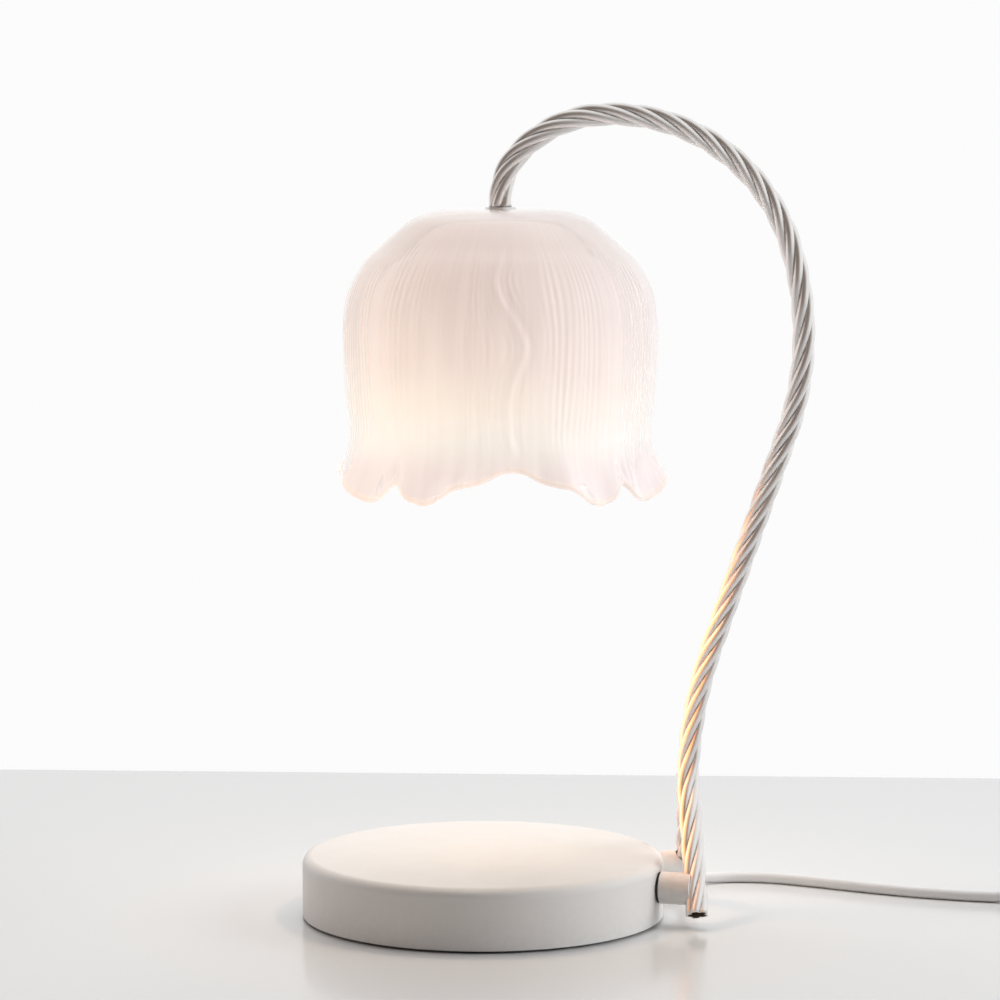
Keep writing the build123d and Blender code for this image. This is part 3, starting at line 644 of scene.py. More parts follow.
PVC = Finish("white_pvc", (0.87, 0.865, 0.87), (0.82, 0.815, 0.82), 0.4, grain_size=0.0011)
WIRE = Finish("clear_jacket", (0.62, 0.57, 0.48), (0.52, 0.46, 0.36), 0.35, grain_size=0.002)
SILICONE = Finish("clear_silicone", (0.68, 0.68, 0.67), (0.6, 0.6, 0.59), 0.45, grain_size=0.002)
CERAMIC = Finish("glazed_ceramic", (0.80, 0.78, 0.74), (0.74, 0.72, 0.67), 0.3, coat=0.5, grain_size=0.0022)
MIRROR = Glowing(
    name="lit_reflector",
    colour=(0.85, 0.80, 0.72),
    second=(0.75, 0.70, 0.62),
    roughness=0.25,
    metallic=0.2,
    grain_size=0.003,
    strength=0.5,
)
BURNER = Glowing("lit_capsule", (0.95, 0.9, 0.8), (0.9, 0.8, 0.7), 0.2, strength=3.0)
LENS = ClearGlass(
    name="bulb_glass",
    colour=(0.97, 0.97, 0.96),
    second=(0.94, 0.95, 0.94),
    roughness=0.04,
    grain_size=0.004,
    grain_depth=0.00002,
)
# The shade's milk glass, with its painted glow
MILK = MilkGlass(
    name="shade_milk",
    colour=(0.66, 0.61, 0.60),
    second=(0.60, 0.55, 0.535),
    roughness=0.6,
    coat=1.0,
    grain_size=0.006,
    grain_depth=0.00005,
)
# The rim's lip: painted glow, warmer and even over its height
LIP = MilkGlass(
    name="shade_lip",
    colour=(0.64, 0.58, 0.55),
    second=(0.59, 0.52, 0.48),
    roughness=0.2,
    coat=1.0,
    grain_size=0.006,
    grain_depth=0.00005,
    glow=((0.0, (0.95, 0.83, 0.75)), (1.0, (0.92, 0.80, 0.72))),
    clearness=0.3,
    glow_strength=0.56,
)
PLASTIC = Finish("white_plastic", (0.68, 0.68, 0.67), (0.65, 0.65, 0.64), 0.3, coat=0.2, grain_size=0.0008)
BOARD = Finish("green_board", (0.02, 0.12, 0.05), (0.03, 0.16, 0.07), 0.4, coat=0.3, grain_size=0.0012)
GREY = Finish("grey_plastic", (0.12, 0.12, 0.125), (0.1, 0.1, 0.1), 0.5, grain_size=0.0009)

NODES_BY_FINISH: dict[Finish, tuple[str, ...]] = {
    PAINT: ("base_shell", "stub_front", "stub_rear"),
    IRON: ("base_weight",),
    ZINC: (
        "base_plate", "base_screws", "stub_nipples", "stub_washers", "stub_nuts", "shade_nipple",
        "glass_washer", "clamp_nuts", "holder_bracket", "holder_screws", "dimmer_screws",
    ),
    FOAM: ("base_pad",),
    NYLON: ("terminal_block",),
    BRASS: ("terminal_screws", "holder_contacts"),
    PVC: (
        "lead_relief", "lead_inner", "lead_lamp_side", "lead_plug_side", "lead_coil", "lead_tail",
        "dimmer_reliefs", "plug_body",
    ),
    SATIN: ("arm_tube", "rear_leg", "shade_collar"),
    GASKET: ("stub_gaskets",),
    WIRE: ("arm_wire",),
    MILK: ("glass_shade",),
    SILICONE: ("glass_grommet",),
    CERAMIC: ("bulb_holder", "bulb_base"),
    NICKEL: ("bulb_pins", "plug_pins"),
    MIRROR: ("bulb_reflector",),
    LENS: ("bulb_lens",),
    BURNER: ("bulb_capsule",),
    PLASTIC: ("dimmer_bottom", "dimmer_top", "dimmer_knob"),
    BOARD: ("dimmer_board",),
    GREY: ("dimmer_control", "dimmer_shaft"),
}


class Paintbox:
    """Builds each finish once and puts it on pieces."""

    def __init__(self) -> None:
        """Start with no material made."""
        self.made: dict[str, bpy.types.Material] = {}

    def get(self, finish: Finish) -> bpy.types.Material:
        """Give a finish's material, made on first use.

        Args:
            finish: The finish.

        Returns:
            Its material.
        """
        if finish.name not in self.made:
            self.made[finish.name] = finish.build()
        return self.made[finish.name]

    def dress(self, piece: bpy.types.Object, *finishes: Finish) -> bpy.types.Object:
        """Give a piece its materials, one slot per finish.

        Args:
            piece: Mesh or curve object.
            finishes: Finish of each slot.

        Returns:
            The same piece.
        """
        if piece.data.materials:
            piece.data.materials.clear()
        for finish in finishes:
            piece.data.materials.append(self.get(finish))
        return piece


# ------------------------------------------------------------------ mesh helpers
class Rings:
    """Collects closed rings of points and skins them into one smooth mesh."""

    def __init__(self, around: int) -> None:
        """Start an empty skin.

        Args:
            around: Points in each ring.
        """
        self.around = around
        self.points: list[np.ndarray] = []
        self.slots: list[int] = []

    def ring(self, points: np.ndarray, slot: int = 0) -> None:
        """Add a ring; the band from the ring before it takes the material slot."""
        self.points.append(points)
        self.slots.append(slot)

    def mesh(self, name: str, close: bool, creases: Sequence[int] = ()) -> bpy.types.Object:
        """Skin the rings.

        Args:
            name: The piece's name.
            close: Join the last ring to the first.
            creases: Columns along which the shading breaks.

        Returns:
            The new object, linked to the scene.
        """
        count = len(self.points)
        rows = np.arange(count if close else count - 1)
        after = (rows + 1) % count
        here = np.arange(self.around)
        side = (here + 1) % self.around
        a = rows[:, None] * self.around + here[None, :]
        b = rows[:, None] * self.around + side[None, :]
        c = after[:, None] * self.around + side[None, :]
        d = after[:, None] * self.around + here[None, :]
        faces = np.stack([a, b, c, d], axis=-1).reshape(-1, 4)
        data = bpy.data.meshes.new(name)
        data.from_pydata(np.concatenate(self.points).tolist(), [], faces.tolist())
        bands = np.repeat(np.array(self.slots)[after], self.around)
        data.polygons.foreach_set("material_index", bands.astype(np.int32))
        data.polygons.foreach_set("use_smooth", np.ones(len(faces), bool))
        data.update()
        if creases:
            ends = np.empty(2 * len(data.edges), np.int32)
            data.edges.foreach_get("vertices", ends)
            column = ends.reshape(-1, 2) % self.around
            sharp = (column[:, 0] == column[:, 1]) & np.isin(column[:, 0], list(creases))
            data.edges.foreach_set("use_edge_sharp", sharp)
        piece = bpy.data.objects.new(name, data)
        bpy.context.scene.collection.objects.link(piece)
        return piece


def through(points: Sequence[tuple[float, float]], where: np.ndarray) -> np.ndarray:
    """Smooth curve through a few points.

    Args:
        points: Position and value pairs, positions rising.
        where: Positions to read.

    Returns:
        The values there, by a cubic with slopes from the neighbours.
    """
    x = np.array([p[0] for p in points], float)
    y = np.array([p[1] for p in points], float)
    slope = np.gradient(y, x)
    where = np.clip(where, x[0], x[-1])
    i = np.clip(np.searchsorted(x, where) - 1, 0, len(x) - 2)
    width = x[i + 1] - x[i]
    t = (where - x[i]) / width
    low = (2 * t**3 - 3 * t**2 + 1) * y[i] + (t**3 - 2 * t**2 + t) * width * slope[i]
    return low + (3 * t**2 - 2 * t**3) * y[i + 1] + (t**3 - t**2) * width * slope[i + 1]


def curve_piece(name: str, points: Sequence[Point], radius: float) -> bpy.types.Object:
    """Round tube on a smooth open spline.

    Args:
        name: The piece's name.
        points: Control points.
        radius: The tube's radius.

    Returns:
        The curve object.
    """
    data = bpy.data.curves.new(name, "CURVE")
    data.dimensions = "3D"
    data.bevel_depth = radius
    data.bevel_resolution = 5
    data.resolution_u = 8
    data.use_fill_caps = True
    spline = data.splines.new("NURBS")
    spline.points.add(len(points) - 1)
    for target, point in zip(spline.points, points):
        target.co = (*point, 1.0)
    spline.order_u = 3
    spline.use_endpoint_u = True
    piece = bpy.data.objects.new(name, data)
    bpy.context.scene.collection.objects.link(piece)
    return piece


# ------------------------------------------------------------------ arm
@dataclass
class Walk:
    """Samples along a line of straights and bends."""

    place: Vector
    heading: Vector
    step: float = 0.0011
    places: list[Vector] = field(default_factory=list)
    headings: list[Vector] = field(default_factory=list)
    lengths: list[float] = field(default_factory=list)

    def mark(self, length: float) -> None:
        """Note the place reached.

        Args:
            length: Length walked since the last one.
        """
        total = self.lengths[-1] if self.lengths else 0.0
        self.places.append(self.place.copy())
        self.headings.append(self.heading.copy())
        self.lengths.append(total + length)

    def straight(self, length: float) -> None:
        """Go straight on.

        Args:
            length: How far.
        """
        count = max(1, round(length / self.step))
        for _ in range(count):
            self.place = self.place + self.heading * (length / count)
            self.mark(length / count)

    def bend(self, radius: float, angle: float, axis: Vector) -> None:
        """Go round a bend.

        Args:
            radius: The bend's radius.
            angle: Angle turned, in radians.
            axis: Axis of the turn, by the right-hand rule.
        """
        count = max(2, round(radius * angle / self.step))
        centre = self.place + axis.cross(self.heading).normalized() * radius
        part = Matrix.Rotation(angle / count, 3, axis)
        for _ in range(count):
            self.place = centre + part @ (self.place - centre)
            self.heading = (part @ self.heading).normalized()
            self.mark(radius * angle / count)


@dataclass
class TwistedArm:
    """Hooked arm of twisted tube with its two legs."""

    crest: float = 4.75 * MM
    strand: float = 2.0 * MM
    strands: int = 5
    lead: float = 64.75 * MM
    wall: float = 0.8 * MM
    start: Vector = field(default_factory=lambda: Vector((7.3, 0.0, 294.0)) * MM)
    rise: float = 3.0 * MM
    bends: tuple[tuple[float, float], ...] = ((27.5, 42.0), (49.0, 43.0), (76.5, 77.0), (123.0, 37.0))
    limb: float = 93.0 * MM
    limb_bend: tuple[float, float] = (180.0, 15.2)
    shoulder_drop: float = 7.5 * MM
    shoulder_radius: float = 25.0 * MM
    reach: float = 2.1 * MM
    splay: float = 31.0 * MM
    foot: float = 6.0 * MM
    # The rear leg's first ring stands this far down from the fork
    leg_start: float = 0.8 * MM
    per_strand: int = 16
    # Slots: the painted outside, and the bare bore
    bore_slot: int = 1

    def outline(self, turn: float, inset: float = 0.0) -> np.ndarray:
        """Lobed section of the tube.

        Args:
            turn: Angle the section is turned by.
            inset: How far inside the tube's surface.

        Returns:
            Points of the outline in the section's plane.
        """
        count = self.strands * self.per_strand
        angle = np.arange(count) * 2 * pi / count
        pitch = 2 * pi / self.strands
        local = (angle + pitch / 2) % pitch - pitch / 2
        ring = self.crest - self.strand
        out = ring * np.cos(local) + np.sqrt(self.strand**2 - (ring * np.sin(local)) ** 2) - inset
        return np.stack([out * np.cos(angle + turn), out * np.sin(angle + turn)], axis=1)

    def tube(self, name: str, walk: Walk) -> bpy.types.Object:
        """Twisted tube along a walk.

        Args:
            name: The piece's name.
            walk: The tube's line.

        Returns:
            The tube, open at both ends, with its bore.
        """
        skin = Rings(self.strands * self.per_strand)
        marks = list(zip(walk.places, walk.headings, walk.lengths))
        for place, heading, length in marks:
            skin.ring(self.section(self.outline(2 * pi * length / self.lead), place, heading))
        place, heading, length = marks[-1]
        skin.ring(self.section(self.outline(2 * pi * length / self.lead, self.wall), place, heading))
        for place, heading, length in marks[-3::-3]:
            flat = self.outline(2 * pi * length / self.lead, self.wall)
            skin.ring(self.section(flat, place, heading), self.bore_slot)
        grooves = range(self.per_strand // 2, self.strands * self.per_strand, self.per_strand)
        return skin.mesh(name, close=True, creases=grooves)

    @staticmethod
    def section(flat: np.ndarray, place: Vector, heading: Vector) -> np.ndarray:
        """Put a flat section across the line.

        Args:
            flat: Points in the section's plane.
            place: Its centre.
            heading: The line's direction there.

        Returns:
            The points in space.
        """
        across = Vector((0.0, 1.0, 0.0))
        across = (across - heading * across.dot(heading)).normalized()
        over = heading.cross(across)
        return np.array(place) + flat[:, :1] * np.array(across) + flat[:, 1:] * np.array(over)

    def lines(self) -> tuple[Walk, Walk]:
        """Lines of the arm and of the rear leg.

        Returns:
            The arm's walk down to the front foot, and the rear leg's walk.
        """
        across = Vector((0.0, 1.0, 0.0))
        arm = Walk(self.start, Vector((0.0, 0.0, 1.0)))
        arm.mark(0.0)
        arm.straight(self.rise)
        for radius, angle in self.bends:
            arm.bend(radius * MM, radians(angle), across)
        arm.straight(self.limb)
        arm.bend(self.limb_bend[0] * MM, radians(self.limb_bend[1]), -across)
        shoulder = arm.place + arm.heading * self.shoulder_drop
        front = Vector((shoulder.x + self.reach, -self.splay, self.foot))
        rear = Vector((front.x, self.splay, self.foot))
        down = (front - shoulder).normalized()
        turn = acos(arm.heading.dot(down))
        spent = self.shoulder_radius * tan(turn / 2)
        arm.straight(self.shoulder_drop - spent)
        arm.bend(self.shoulder_radius, turn, arm.heading.cross(down).normalized())
        arm.straight((front - shoulder).length - spent)
        leg = Walk(shoulder, (rear - shoulder).normalized())
        leg.straight(self.leg_start)
        leg.straight((rear - shoulder).length - self.leg_start)
        return arm, leg

    def build(self, box: Paintbox) -> list[bpy.types.Object]:
        """Make the arm and the rear leg in place of their solids.

        Args:
            box: The finishes.

        Returns:
            The arm and the rear leg.
        """
        arm_line, leg_line = self.lines()
        arm = box.dress(self.tube("twisted_arm", arm_line), SATIN, BARE)
        leg = box.dress(self.tube("twisted_rear_leg", leg_line), SATIN, BARE)
        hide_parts("arm_tube")
        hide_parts("rear_leg")
        for piece in (arm, leg):
            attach(piece, LAMP_BODY)
        return [arm, leg]


# ------------------------------------------------------------------ shade
@dataclass
class PetalShade:
    """Bell of milky glass with fine ribs, four wandering seams and a curled petal rim.

    Sizes without MM are in millimetres, as the profile is.
    """

    axis_x: float = 7.3 * MM
    wall: float = 3.0
    # The wall thins to this over the last rows, and the last band before the rim has the lip's finish
    lip_wall: float = 2.2
    lip_rows: int = 14
    lip_band: int = 2
    around: int = 720
    ribs: int = 150
    rib_depth: float = 0.17
    # Waves that shift the ribs, and those that make them stronger or weaker
    rib_wander: tuple[Wave, ...] = ((1.6, 7, 0.0, 0.05), (1.1, 17, 0.0, -0.03), (0.8, 29, 0.0, 0.02))
    rib_strength: tuple[Wave, ...] = ((0.3, 11, 1.3, 0.0), (0.25, 23, 0.0, 0.02))
    rib_level: float = 0.5
    rib_least: float = 0.05
    # The ribs fade out over this height at their top and foot, and by this share beside a seam
    rib_top: float = 282.0
    rib_foot: float = 194.0
    rib_fade: float = 16.0
    rib_calm: float = 0.6
    calm_width: float = 3.0
    # Share of the ribs' relief that the inside lacks
    inside_calm: float = 0.6
    seam_turn: float = radians(3.2 - 90.0)
    seam_ridge: float = 0.34
    ridge_width: float = 1.4
    seam_groove: float = 0.2
    groove_width: float = 1.5
    groove_away: float = 3.2
    # The seams fade out over these heights at their top and foot, at the foot to a least share
    seam_top: float = 283.0
    seam_top_fade: float = 10.0
    seam_foot: float = 186.0
    seam_foot_fade: float = 12.0
    seam_least: float = 0.25
    sway_width: float = 11.0
    quarter: float = pi / 2
    flare_from: float = 212.0
    waist: float = 60.9
    pleat: float = 2.6
    pleat_width: float = 2.6
    pleat_shoulder: float = 0.9
    shoulder_away: float = 6.0
    shoulder_width: float = 2.4
    # Share of the way to the rim where the pleat starts, and over which it deepens
    pleat_from: float = 0.42
    pleat_reach: float = 0.5
    # Size, number and phase of the rim's slow rise and fall
    rim_wave: tuple[float, float, float] = (0.4, 3, 0.6)
    # Flare from the bell to the rim: how far down its two middle knots stand, and the lower one's way out
    flare_knots: tuple[float, float] = (0.38, 0.27)
    flare_out: float = 0.30
    crown_rows: int = 76
    flare_rows: int = 44
    lip_steps: int = 9
    girth: float = 64.0
    crown: tuple[tuple[float, float], ...] = (
        (5.2, 293.2), (14.0, 293.2), (24.0, 292.7), (31.0, 291.2), (36.8, 288.7), (43.0, 283.8),
        (49.0, 278.2), (54.0, 273.3), (58.2, 267.5), (61.3, 261.6), (63.4, 254.8), (64.4, 245.0),
        (64.3, 236.0), (63.9, 226.0), (63.2, 216.5), (62.8, 212.0),
    )
    # Around a quarter of the rim, from a seam to the pinched notch: angle in degrees, height, radius
    rim: tuple[tuple[float, float, float], ...] = (
        (0.0, 191.8, 63.8), (3.0, 191.6, 64.2), (6.0, 190.3, 65.0), (10.0, 188.0, 66.3),
        (15.0, 186.6, 68.6), (20.0, 185.4, 70.6), (24.0, 182.2, 70.4), (28.0, 179.6, 68.4),
        (32.0, 178.3, 66.9), (36.0, 179.0, 66.2), (39.0, 180.3, 66.0), (42.0, 183.6, 66.6),
        (45.0, 186.8, 67.6),
    )
    # Along a seam: height and how far it sways to the side, in millimetres
    sway: tuple[tuple[float, float], ...] = (
        (176.0, 0.6), (192.0, 0.6), (200.0, -1.2), (209.0, -2.2), (219.0, -2.2), (227.0, -0.2),
        (234.5, 3.0), (241.0, 4.2), (248.0, 1.8), (254.0, -2.2), (261.0, -6.2), (268.0, -7.6),
        (274.0, -5.4), (281.0, -3.0), (294.0, -2.0),
    )

    def angles(self) -> np.ndarray:
        """Angle of each column round the shade's axis."""
        return np.arange(self.around) * 2 * pi / self.around

    def from_seam(self, angle: np.ndarray) -> np.ndarray:
        """Angle from the nearest seam, in degrees from -45 to 45."""
        return np.degrees((angle - self.seam_turn + self.quarter / 2) % self.quarter - self.quarter / 2)

    def rib_height(self, angle: np.ndarray, height: float) -> np.ndarray:
        """Relief of ribs and seams at a height.

        Args:
            angle: Angle of each column.
            height: Height in millimetres.

        Returns:
            How far the surface stands out, in millimetres.
        """
        here = self.from_seam(angle)
        sideways = np.radians(here) * self.girth
        sway = float(through(self.sway, np.array([height]))[0])
        near = self.bump(sideways, self.sway_width)
        phase = self.ribs * (angle - sway * near / self.girth)
        wander = sum(self.waves(self.rib_wander, angle, height))
        strong = sum(self.waves(self.rib_strength, angle, height), self.rib_level)
        fade = self.covered(self.rib_top - height, self.rib_fade)
        fade = fade * self.covered(height - self.rib_foot, self.rib_fade)
        ribs = self.rib_depth * fade * np.maximum(strong, self.rib_least) * np.cos(phase + wander)
        from_line = sideways - sway
        along = self.covered(self.seam_top - height, self.seam_top_fade)
        along = along * self.covered(height - self.seam_foot, self.seam_foot_fade, self.seam_least)
        ridge = self.seam_ridge * self.bump(from_line, self.ridge_width)
        groove = self.seam_groove * self.bump(from_line - self.groove_away, self.groove_width)
        calm = 1 - self.rib_calm * self.bump(from_line, self.calm_width)
        return ribs * calm + along * (ridge - groove)

    @staticmethod
    def waves(table: Sequence[Wave], angle: np.ndarray, height: float) -> list[np.ndarray]:
        """Waves round the shade at a height.

        Args:
            table: The waves.
            angle: Angle of each column.
            height: Height in millimetres.

        Returns:
            Each wave's values.
        """
        return [
            size * np.sin(number * angle + phase + shift * height)
            for size, number, phase, shift in table
        ]

    @staticmethod
    def covered(past: float, reach: float, least: float = 0.0) -> float:
        """Share of a reach that is behind, between a least share and 1."""
        return min(1.0, max(least, past / reach))

    @staticmethod
    def bump(away: np.ndarray, width: float) -> np.ndarray:
        """Round bump, 1 in its middle, that fades over a width."""
        return np.exp(-((away / width) ** 2))

    def outer(self) -> list[np.ndarray]:
        """Outer surface from the hole to the rim.

        Returns:
            Rows of radius and height, in millimetres.
        """
        angle = self.angles()
        rows: list[np.ndarray] = []
        knots = np.linspace(0, 1, len(self.crown))
        radius_of = [(k, p[0]) for k, p in zip(knots, self.crown)]
        height_of = [(k, p[1]) for k, p in zip(knots, self.crown)]
        share = np.linspace(0, 1, self.crown_rows)
        for radius, height in zip(through(radius_of, share), through(height_of, share)):
            rows.append(np.stack([np.full_like(angle, radius), np.full_like(angle, height)], axis=1))
        here = np.abs(self.from_seam(angle))
        size, number, phase = self.rim_wave
        lowest = through([(a, z) for a, z, _ in self.rim], here) + size * np.sin(angle * number + phase)
        widest = through([(a, r) for a, _, r in self.rim], here)
        top_radius, top_height = self.crown[-1][0], self.flare_from
        drop = top_height - lowest
        from_notch = self.rim[-1][0] - here
        pleat = self.pleat_shoulder * self.bump(from_notch - self.shoulder_away, self.shoulder_width)
        pleat -= self.pleat * self.bump(from_notch, self.pleat_width)
        first = (np.full_like(angle, top_radius), np.full_like(angle, top_height))
        upper, lower = self.flare_knots
        second = (np.full_like(angle, self.waist), top_height - upper * drop)
        third = (self.waist + self.flare_out * (widest - self.waist), lowest + lower * drop)
        last = (widest, lowest)
        corners = (first, second, third, last)
        for t in np.linspace(0, 1, self.flare_rows)[1:]:
            shares = ((1 - t) ** 3, 3 * (1 - t) ** 2 * t, 3 * (1 - t) * t**2, t**3)
            row = [sum(part * knot[k] for part, knot in zip(shares, corners)) for k in (0, 1)]
            folded = self.covered(t - self.pleat_from, self.pleat_reach)
            row[0] = row[0] + pleat * folded * folded * (3 - 2 * folded)
            rows.append(np.stack(row, axis=1))
        for row in rows:
            middle = float(np.mean(row[:, 1]))
            row[:, 0] += self.rib_height(angle, middle)
        return rows

    def in_space(self, row: np.ndarray) -> np.ndarray:
        """Turn radius and height into points.

        Args:
            row: Radius and height of each column, in millimetres.

        Returns:
            The points, in metres.
        """
        angle = self.angles()
        radius = row[:, 0] * MM
        east, north = self.axis_x + radius * np.cos(angle), radius * np.sin(angle)
        return np.stack([east, north, row[:, 1] * MM], axis=1)

    def build(self, box: Paintbox) -> bpy.types.Object:
        """Make the shade in place of its solid.

        Args:
            box: The finishes.

        Returns:
            The shade.
        """
        outside = self.outer()
        profile = np.stack(outside)
        slope = np.gradient(profile, axis=0)
        length = np.maximum(np.linalg.norm(slope, axis=2, keepdims=True), 1e-9)
        inward = np.stack([slope[:, :, 1], -slope[:, :, 0]], axis=2) / length
        wall = np.full(len(outside), self.wall)
        wall[-self.lip_rows :] = np.linspace(self.wall, self.lip_wall, self.lip_rows)
        slots = [int(index >= len(outside) - self.lip_band) for index in range(len(outside))]
        skin = Rings(self.around)
        for row, slot in zip(outside, slots):
            skin.ring(self.in_space(row), slot)
        # The inside follows the ribs only in part
        smooth = profile.copy()
        relief = [self.rib_height(self.angles(), float(np.mean(row[:, 1]))) for row in outside]
        smooth[:, :, 0] -= np.stack(relief) * self.inside_calm
        edge, across, half = profile[-1], inward[-1], wall[-1] / 2
        along = slope[-1] / length[-1]
        for turn in np.linspace(0, pi, self.lip_steps)[1:-1]:
            lip = edge + across * half * (1 - cos(turn)) + along * half * sin(turn)
            skin.ring(self.in_space(lip), 1)
        for index in range(len(outside) - 1, -1, -1):
            row = smooth[index] + inward[index] * wall[index]
            if index == 0:
                row[:, 0] = profile[0, :, 0]
            skin.ring(self.in_space(row), slots[index])
        piece = box.dress(skin.mesh("petal_shade", close=True), MILK, LIP)
        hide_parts("glass_shade")
        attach(piece, LAMP_BODY)
        return piece


# ------------------------------------------------------------------ lead
@dataclass
class MainsLead:
    """Round white lead with its coil, tie, dimmer and plug."""

    radius: float = 2.3 * MM
    relief_turn: float = radians(32.0)
    relief_tip: float = 89.0
    relief_run: float = 8.0
    relief_height: float = 7.8
    lamp_side: tuple[Point, ...] = (
        (95.0, 60.3, 2.6), (110.0, 64.6, 2.3), (128.0, 61.6, 2.3), (146.0, 51.6, 2.3),
        (164.0, 40.9, 2.3), (182.0, 31.3, 2.3), (200.0, 24.3, 2.3), (211.0, 21.2, 2.3),
        (221.0, 18.6, 2.4), (231.0, 17.0, 7.0), (240.0, 17.0, 7.0),
    )
    plug_side: tuple[Point, ...] = (
        (308.0, 17.0, 7.0), (318.0, 17.0, 7.0), (331.0, 11.5, 3.6), (340.0, -1.0, 2.3),
        (341.6, -18.0, 2.3),
    )
    tail: tuple[Point, ...] = (
        (281.1, -57.1, 8.2), (275.9, -44.5, 10.9), (279.4, -31.4, 13.7), (290.0, -23.2, 16.1),
        (302.0, -23.2, 16.1),
    )
    coil_start: Point = (340.4, -36.0, 2.3)
    coil_centre: tuple[float, float] = (307.5, -37.0)
    turns: tuple[float, ...] = (32.9, 28.3, 23.7, 19.1, 21.4, 26.0, 30.6)
    last_turn: float = 1 / 3
    lower_turns: int = 4
    # The drawn curve cuts its points' corners, so they stand out by this
    swell: float = 1.004
    # Share of a turn where the lead starts to climb, or to step to the next turn, and over which it does
    climb: tuple[float, float] = (0.62, 0.2)
    climb_step: tuple[float, float] = (0.74, 0.14)
    plain_step: tuple[float, float] = (0.82, 0.18)
    hump: tuple[float, float] = (0.7, 0.1)
    hump_split: float = 0.4
    floor_level: float = 2.3
    upper_level: float = 6.4
    crossing_level: float = 7.0
    per_turn: int = 24
    # The tie's loop across the turns: distance from the coil's centre, and height
    tie_loop: tuple[tuple[float, float], ...] = (
        (16.4, 1.6), (16.2, 4.4), (17.2, 7.4), (19.6, 9.2), (26.0, 9.5), (31.5, 9.3), (34.6, 6.6),
        (35.7, 3.4), (34.9, 0.9), (32.6, 0.25), (19.6, 0.25), (17.4, 0.6),
    )
    tie_turn: float = radians(285.0)
    tie_steps: int = 6
    tie_middle: tuple[float, float] = (26.0, 4.6)
    tie_half_width: float = 1.9 * MM
    tie_half_thick: float = 0.22 * MM

    def coil(self) -> list[Point]:
        """Turns of the coil, wound clockwise from the outside in and back out on top.

        Returns:
            Points along them, in millimetres.
        """
        points: list[Point] = []
        total = round((len(self.turns) - 1 + self.last_turn) * self.per_turn)
        for step in range(1, total + 1):
            turn, part = divmod(step / self.per_turn, 1.0)
            turn = int(turn)
            radius = self.turns[turn]
            later = self.turns[min(turn + 1, len(self.turns) - 1)]
            level = self.floor_level if turn < self.lower_turns else self.upper_level
            if turn == self.lower_turns - 1:
                radius += (later - radius) * self.past(part, self.climb_step)
                level += (self.crossing_level - level) * self.past(part, self.climb)
            else:
                radius += (later - radius) * self.past(part, self.plain_step)
                if turn >= self.lower_turns:
                    rising = part > self.hump_split
                    hump = self.past(part, self.hump) if rising else 1 - self.ease(part / self.hump[1])
                    level += (self.crossing_level - level) * hump
            angle = -2 * pi * step / self.per_turn
            points.append(
                (
                    self.coil_centre[0] + self.swell * radius * cos(angle),
                    self.coil_centre[1] + self.swell * radius * sin(angle),
                    level,
                )
            )
        return points

    def past(self, part: float, ends: tuple[float, float]) -> float:
        """Smooth step over a stretch, given as its start and its reach."""
        return self.ease((part - ends[0]) / ends[1])

    @staticmethod
    def ease(share: float) -> float:
        """Smooth step from 0 to 1."""
        share = min(1.0, max(0.0, share))
        return share * share * (3 - 2 * share)

    @staticmethod
    def in_metres(points: Sequence[Point]) -> list[Point]:
        """Scale points from millimetres."""
        return [(x * MM, y * MM, z * MM) for x, y, z in points]

    def build(self, box: Paintbox, nodes: dict[str, bpy.types.Object]) -> list[bpy.types.Object]:
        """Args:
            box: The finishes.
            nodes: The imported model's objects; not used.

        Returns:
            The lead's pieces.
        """
        turn = self.relief_turn
        start = [
            (reach * cos(turn), reach * sin(turn), self.relief_height)
            for reach in (self.relief_tip, self.relief_tip + self.relief_run)
        ]
        first = self.in_metres([*start, *self.lamp_side])
        second = self.in_metres([*self.plug_side, self.coil_start, *self.coil(), *self.tail])
        lamp = box.dress(curve_piece("lead_to_dimmer", first, self.radius), PVC)
        plug = box.dress(curve_piece("lead_to_plug", second, self.radius), PVC)
        tie = self.tie(box)
        for piece in (lamp, plug, tie):
            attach(piece, LAMP_BODY)
        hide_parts("lead_lamp_side")
        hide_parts("lead_plug_side", "lead_coil", "lead_tail")
        return [lamp, plug, tie]

    def tie(self, box: Paintbox) -> bpy.types.Object:
        """Flat twist tie round the coil's turns.

        Args:
            box: The finishes.

        Returns:
            The tie.
        """
        outward = Vector((cos(self.tie_turn), sin(self.tie_turn), 0.0))
        across = Vector((-sin(self.tie_turn), cos(self.tie_turn), 0.0))
        centre = Vector((*self.coil_centre, 0.0)) * MM
        skin = Rings(4)
        count = len(self.tie_loop)
        for index in range(count * self.tie_steps):
            at = index / self.tie_steps
            low = int(at) % count
            part = self.ease(at - int(at))
            here, after = self.tie_loop[low], self.tie_loop[(low + 1) % count]
            out = here[0] * (1 - part) + after[0] * part
            up = here[1] * (1 - part) + after[1] * part
            middle = centre + outward * out * MM + Vector((0.0, 0.0, up * MM))
            away = Vector((out - self.tie_middle[0], 0.0, up - self.tie_middle[1])).normalized()
            thick = (outward * away.x + Vector((0.0, 0.0, away.z))) * self.tie_half_thick
            wide = across * self.tie_half_width
            sides = (thick + wide, thick - wide, -thick - wide, wide - thick)
            skin.ring(np.array([middle + side for side in sides]))
        piece = skin.mesh("coil_tie", close=True)
        piece.data.polygons.foreach_set("use_smooth", np.zeros(len(piece.data.polygons), bool))
        return box.dress(piece, GASKET)


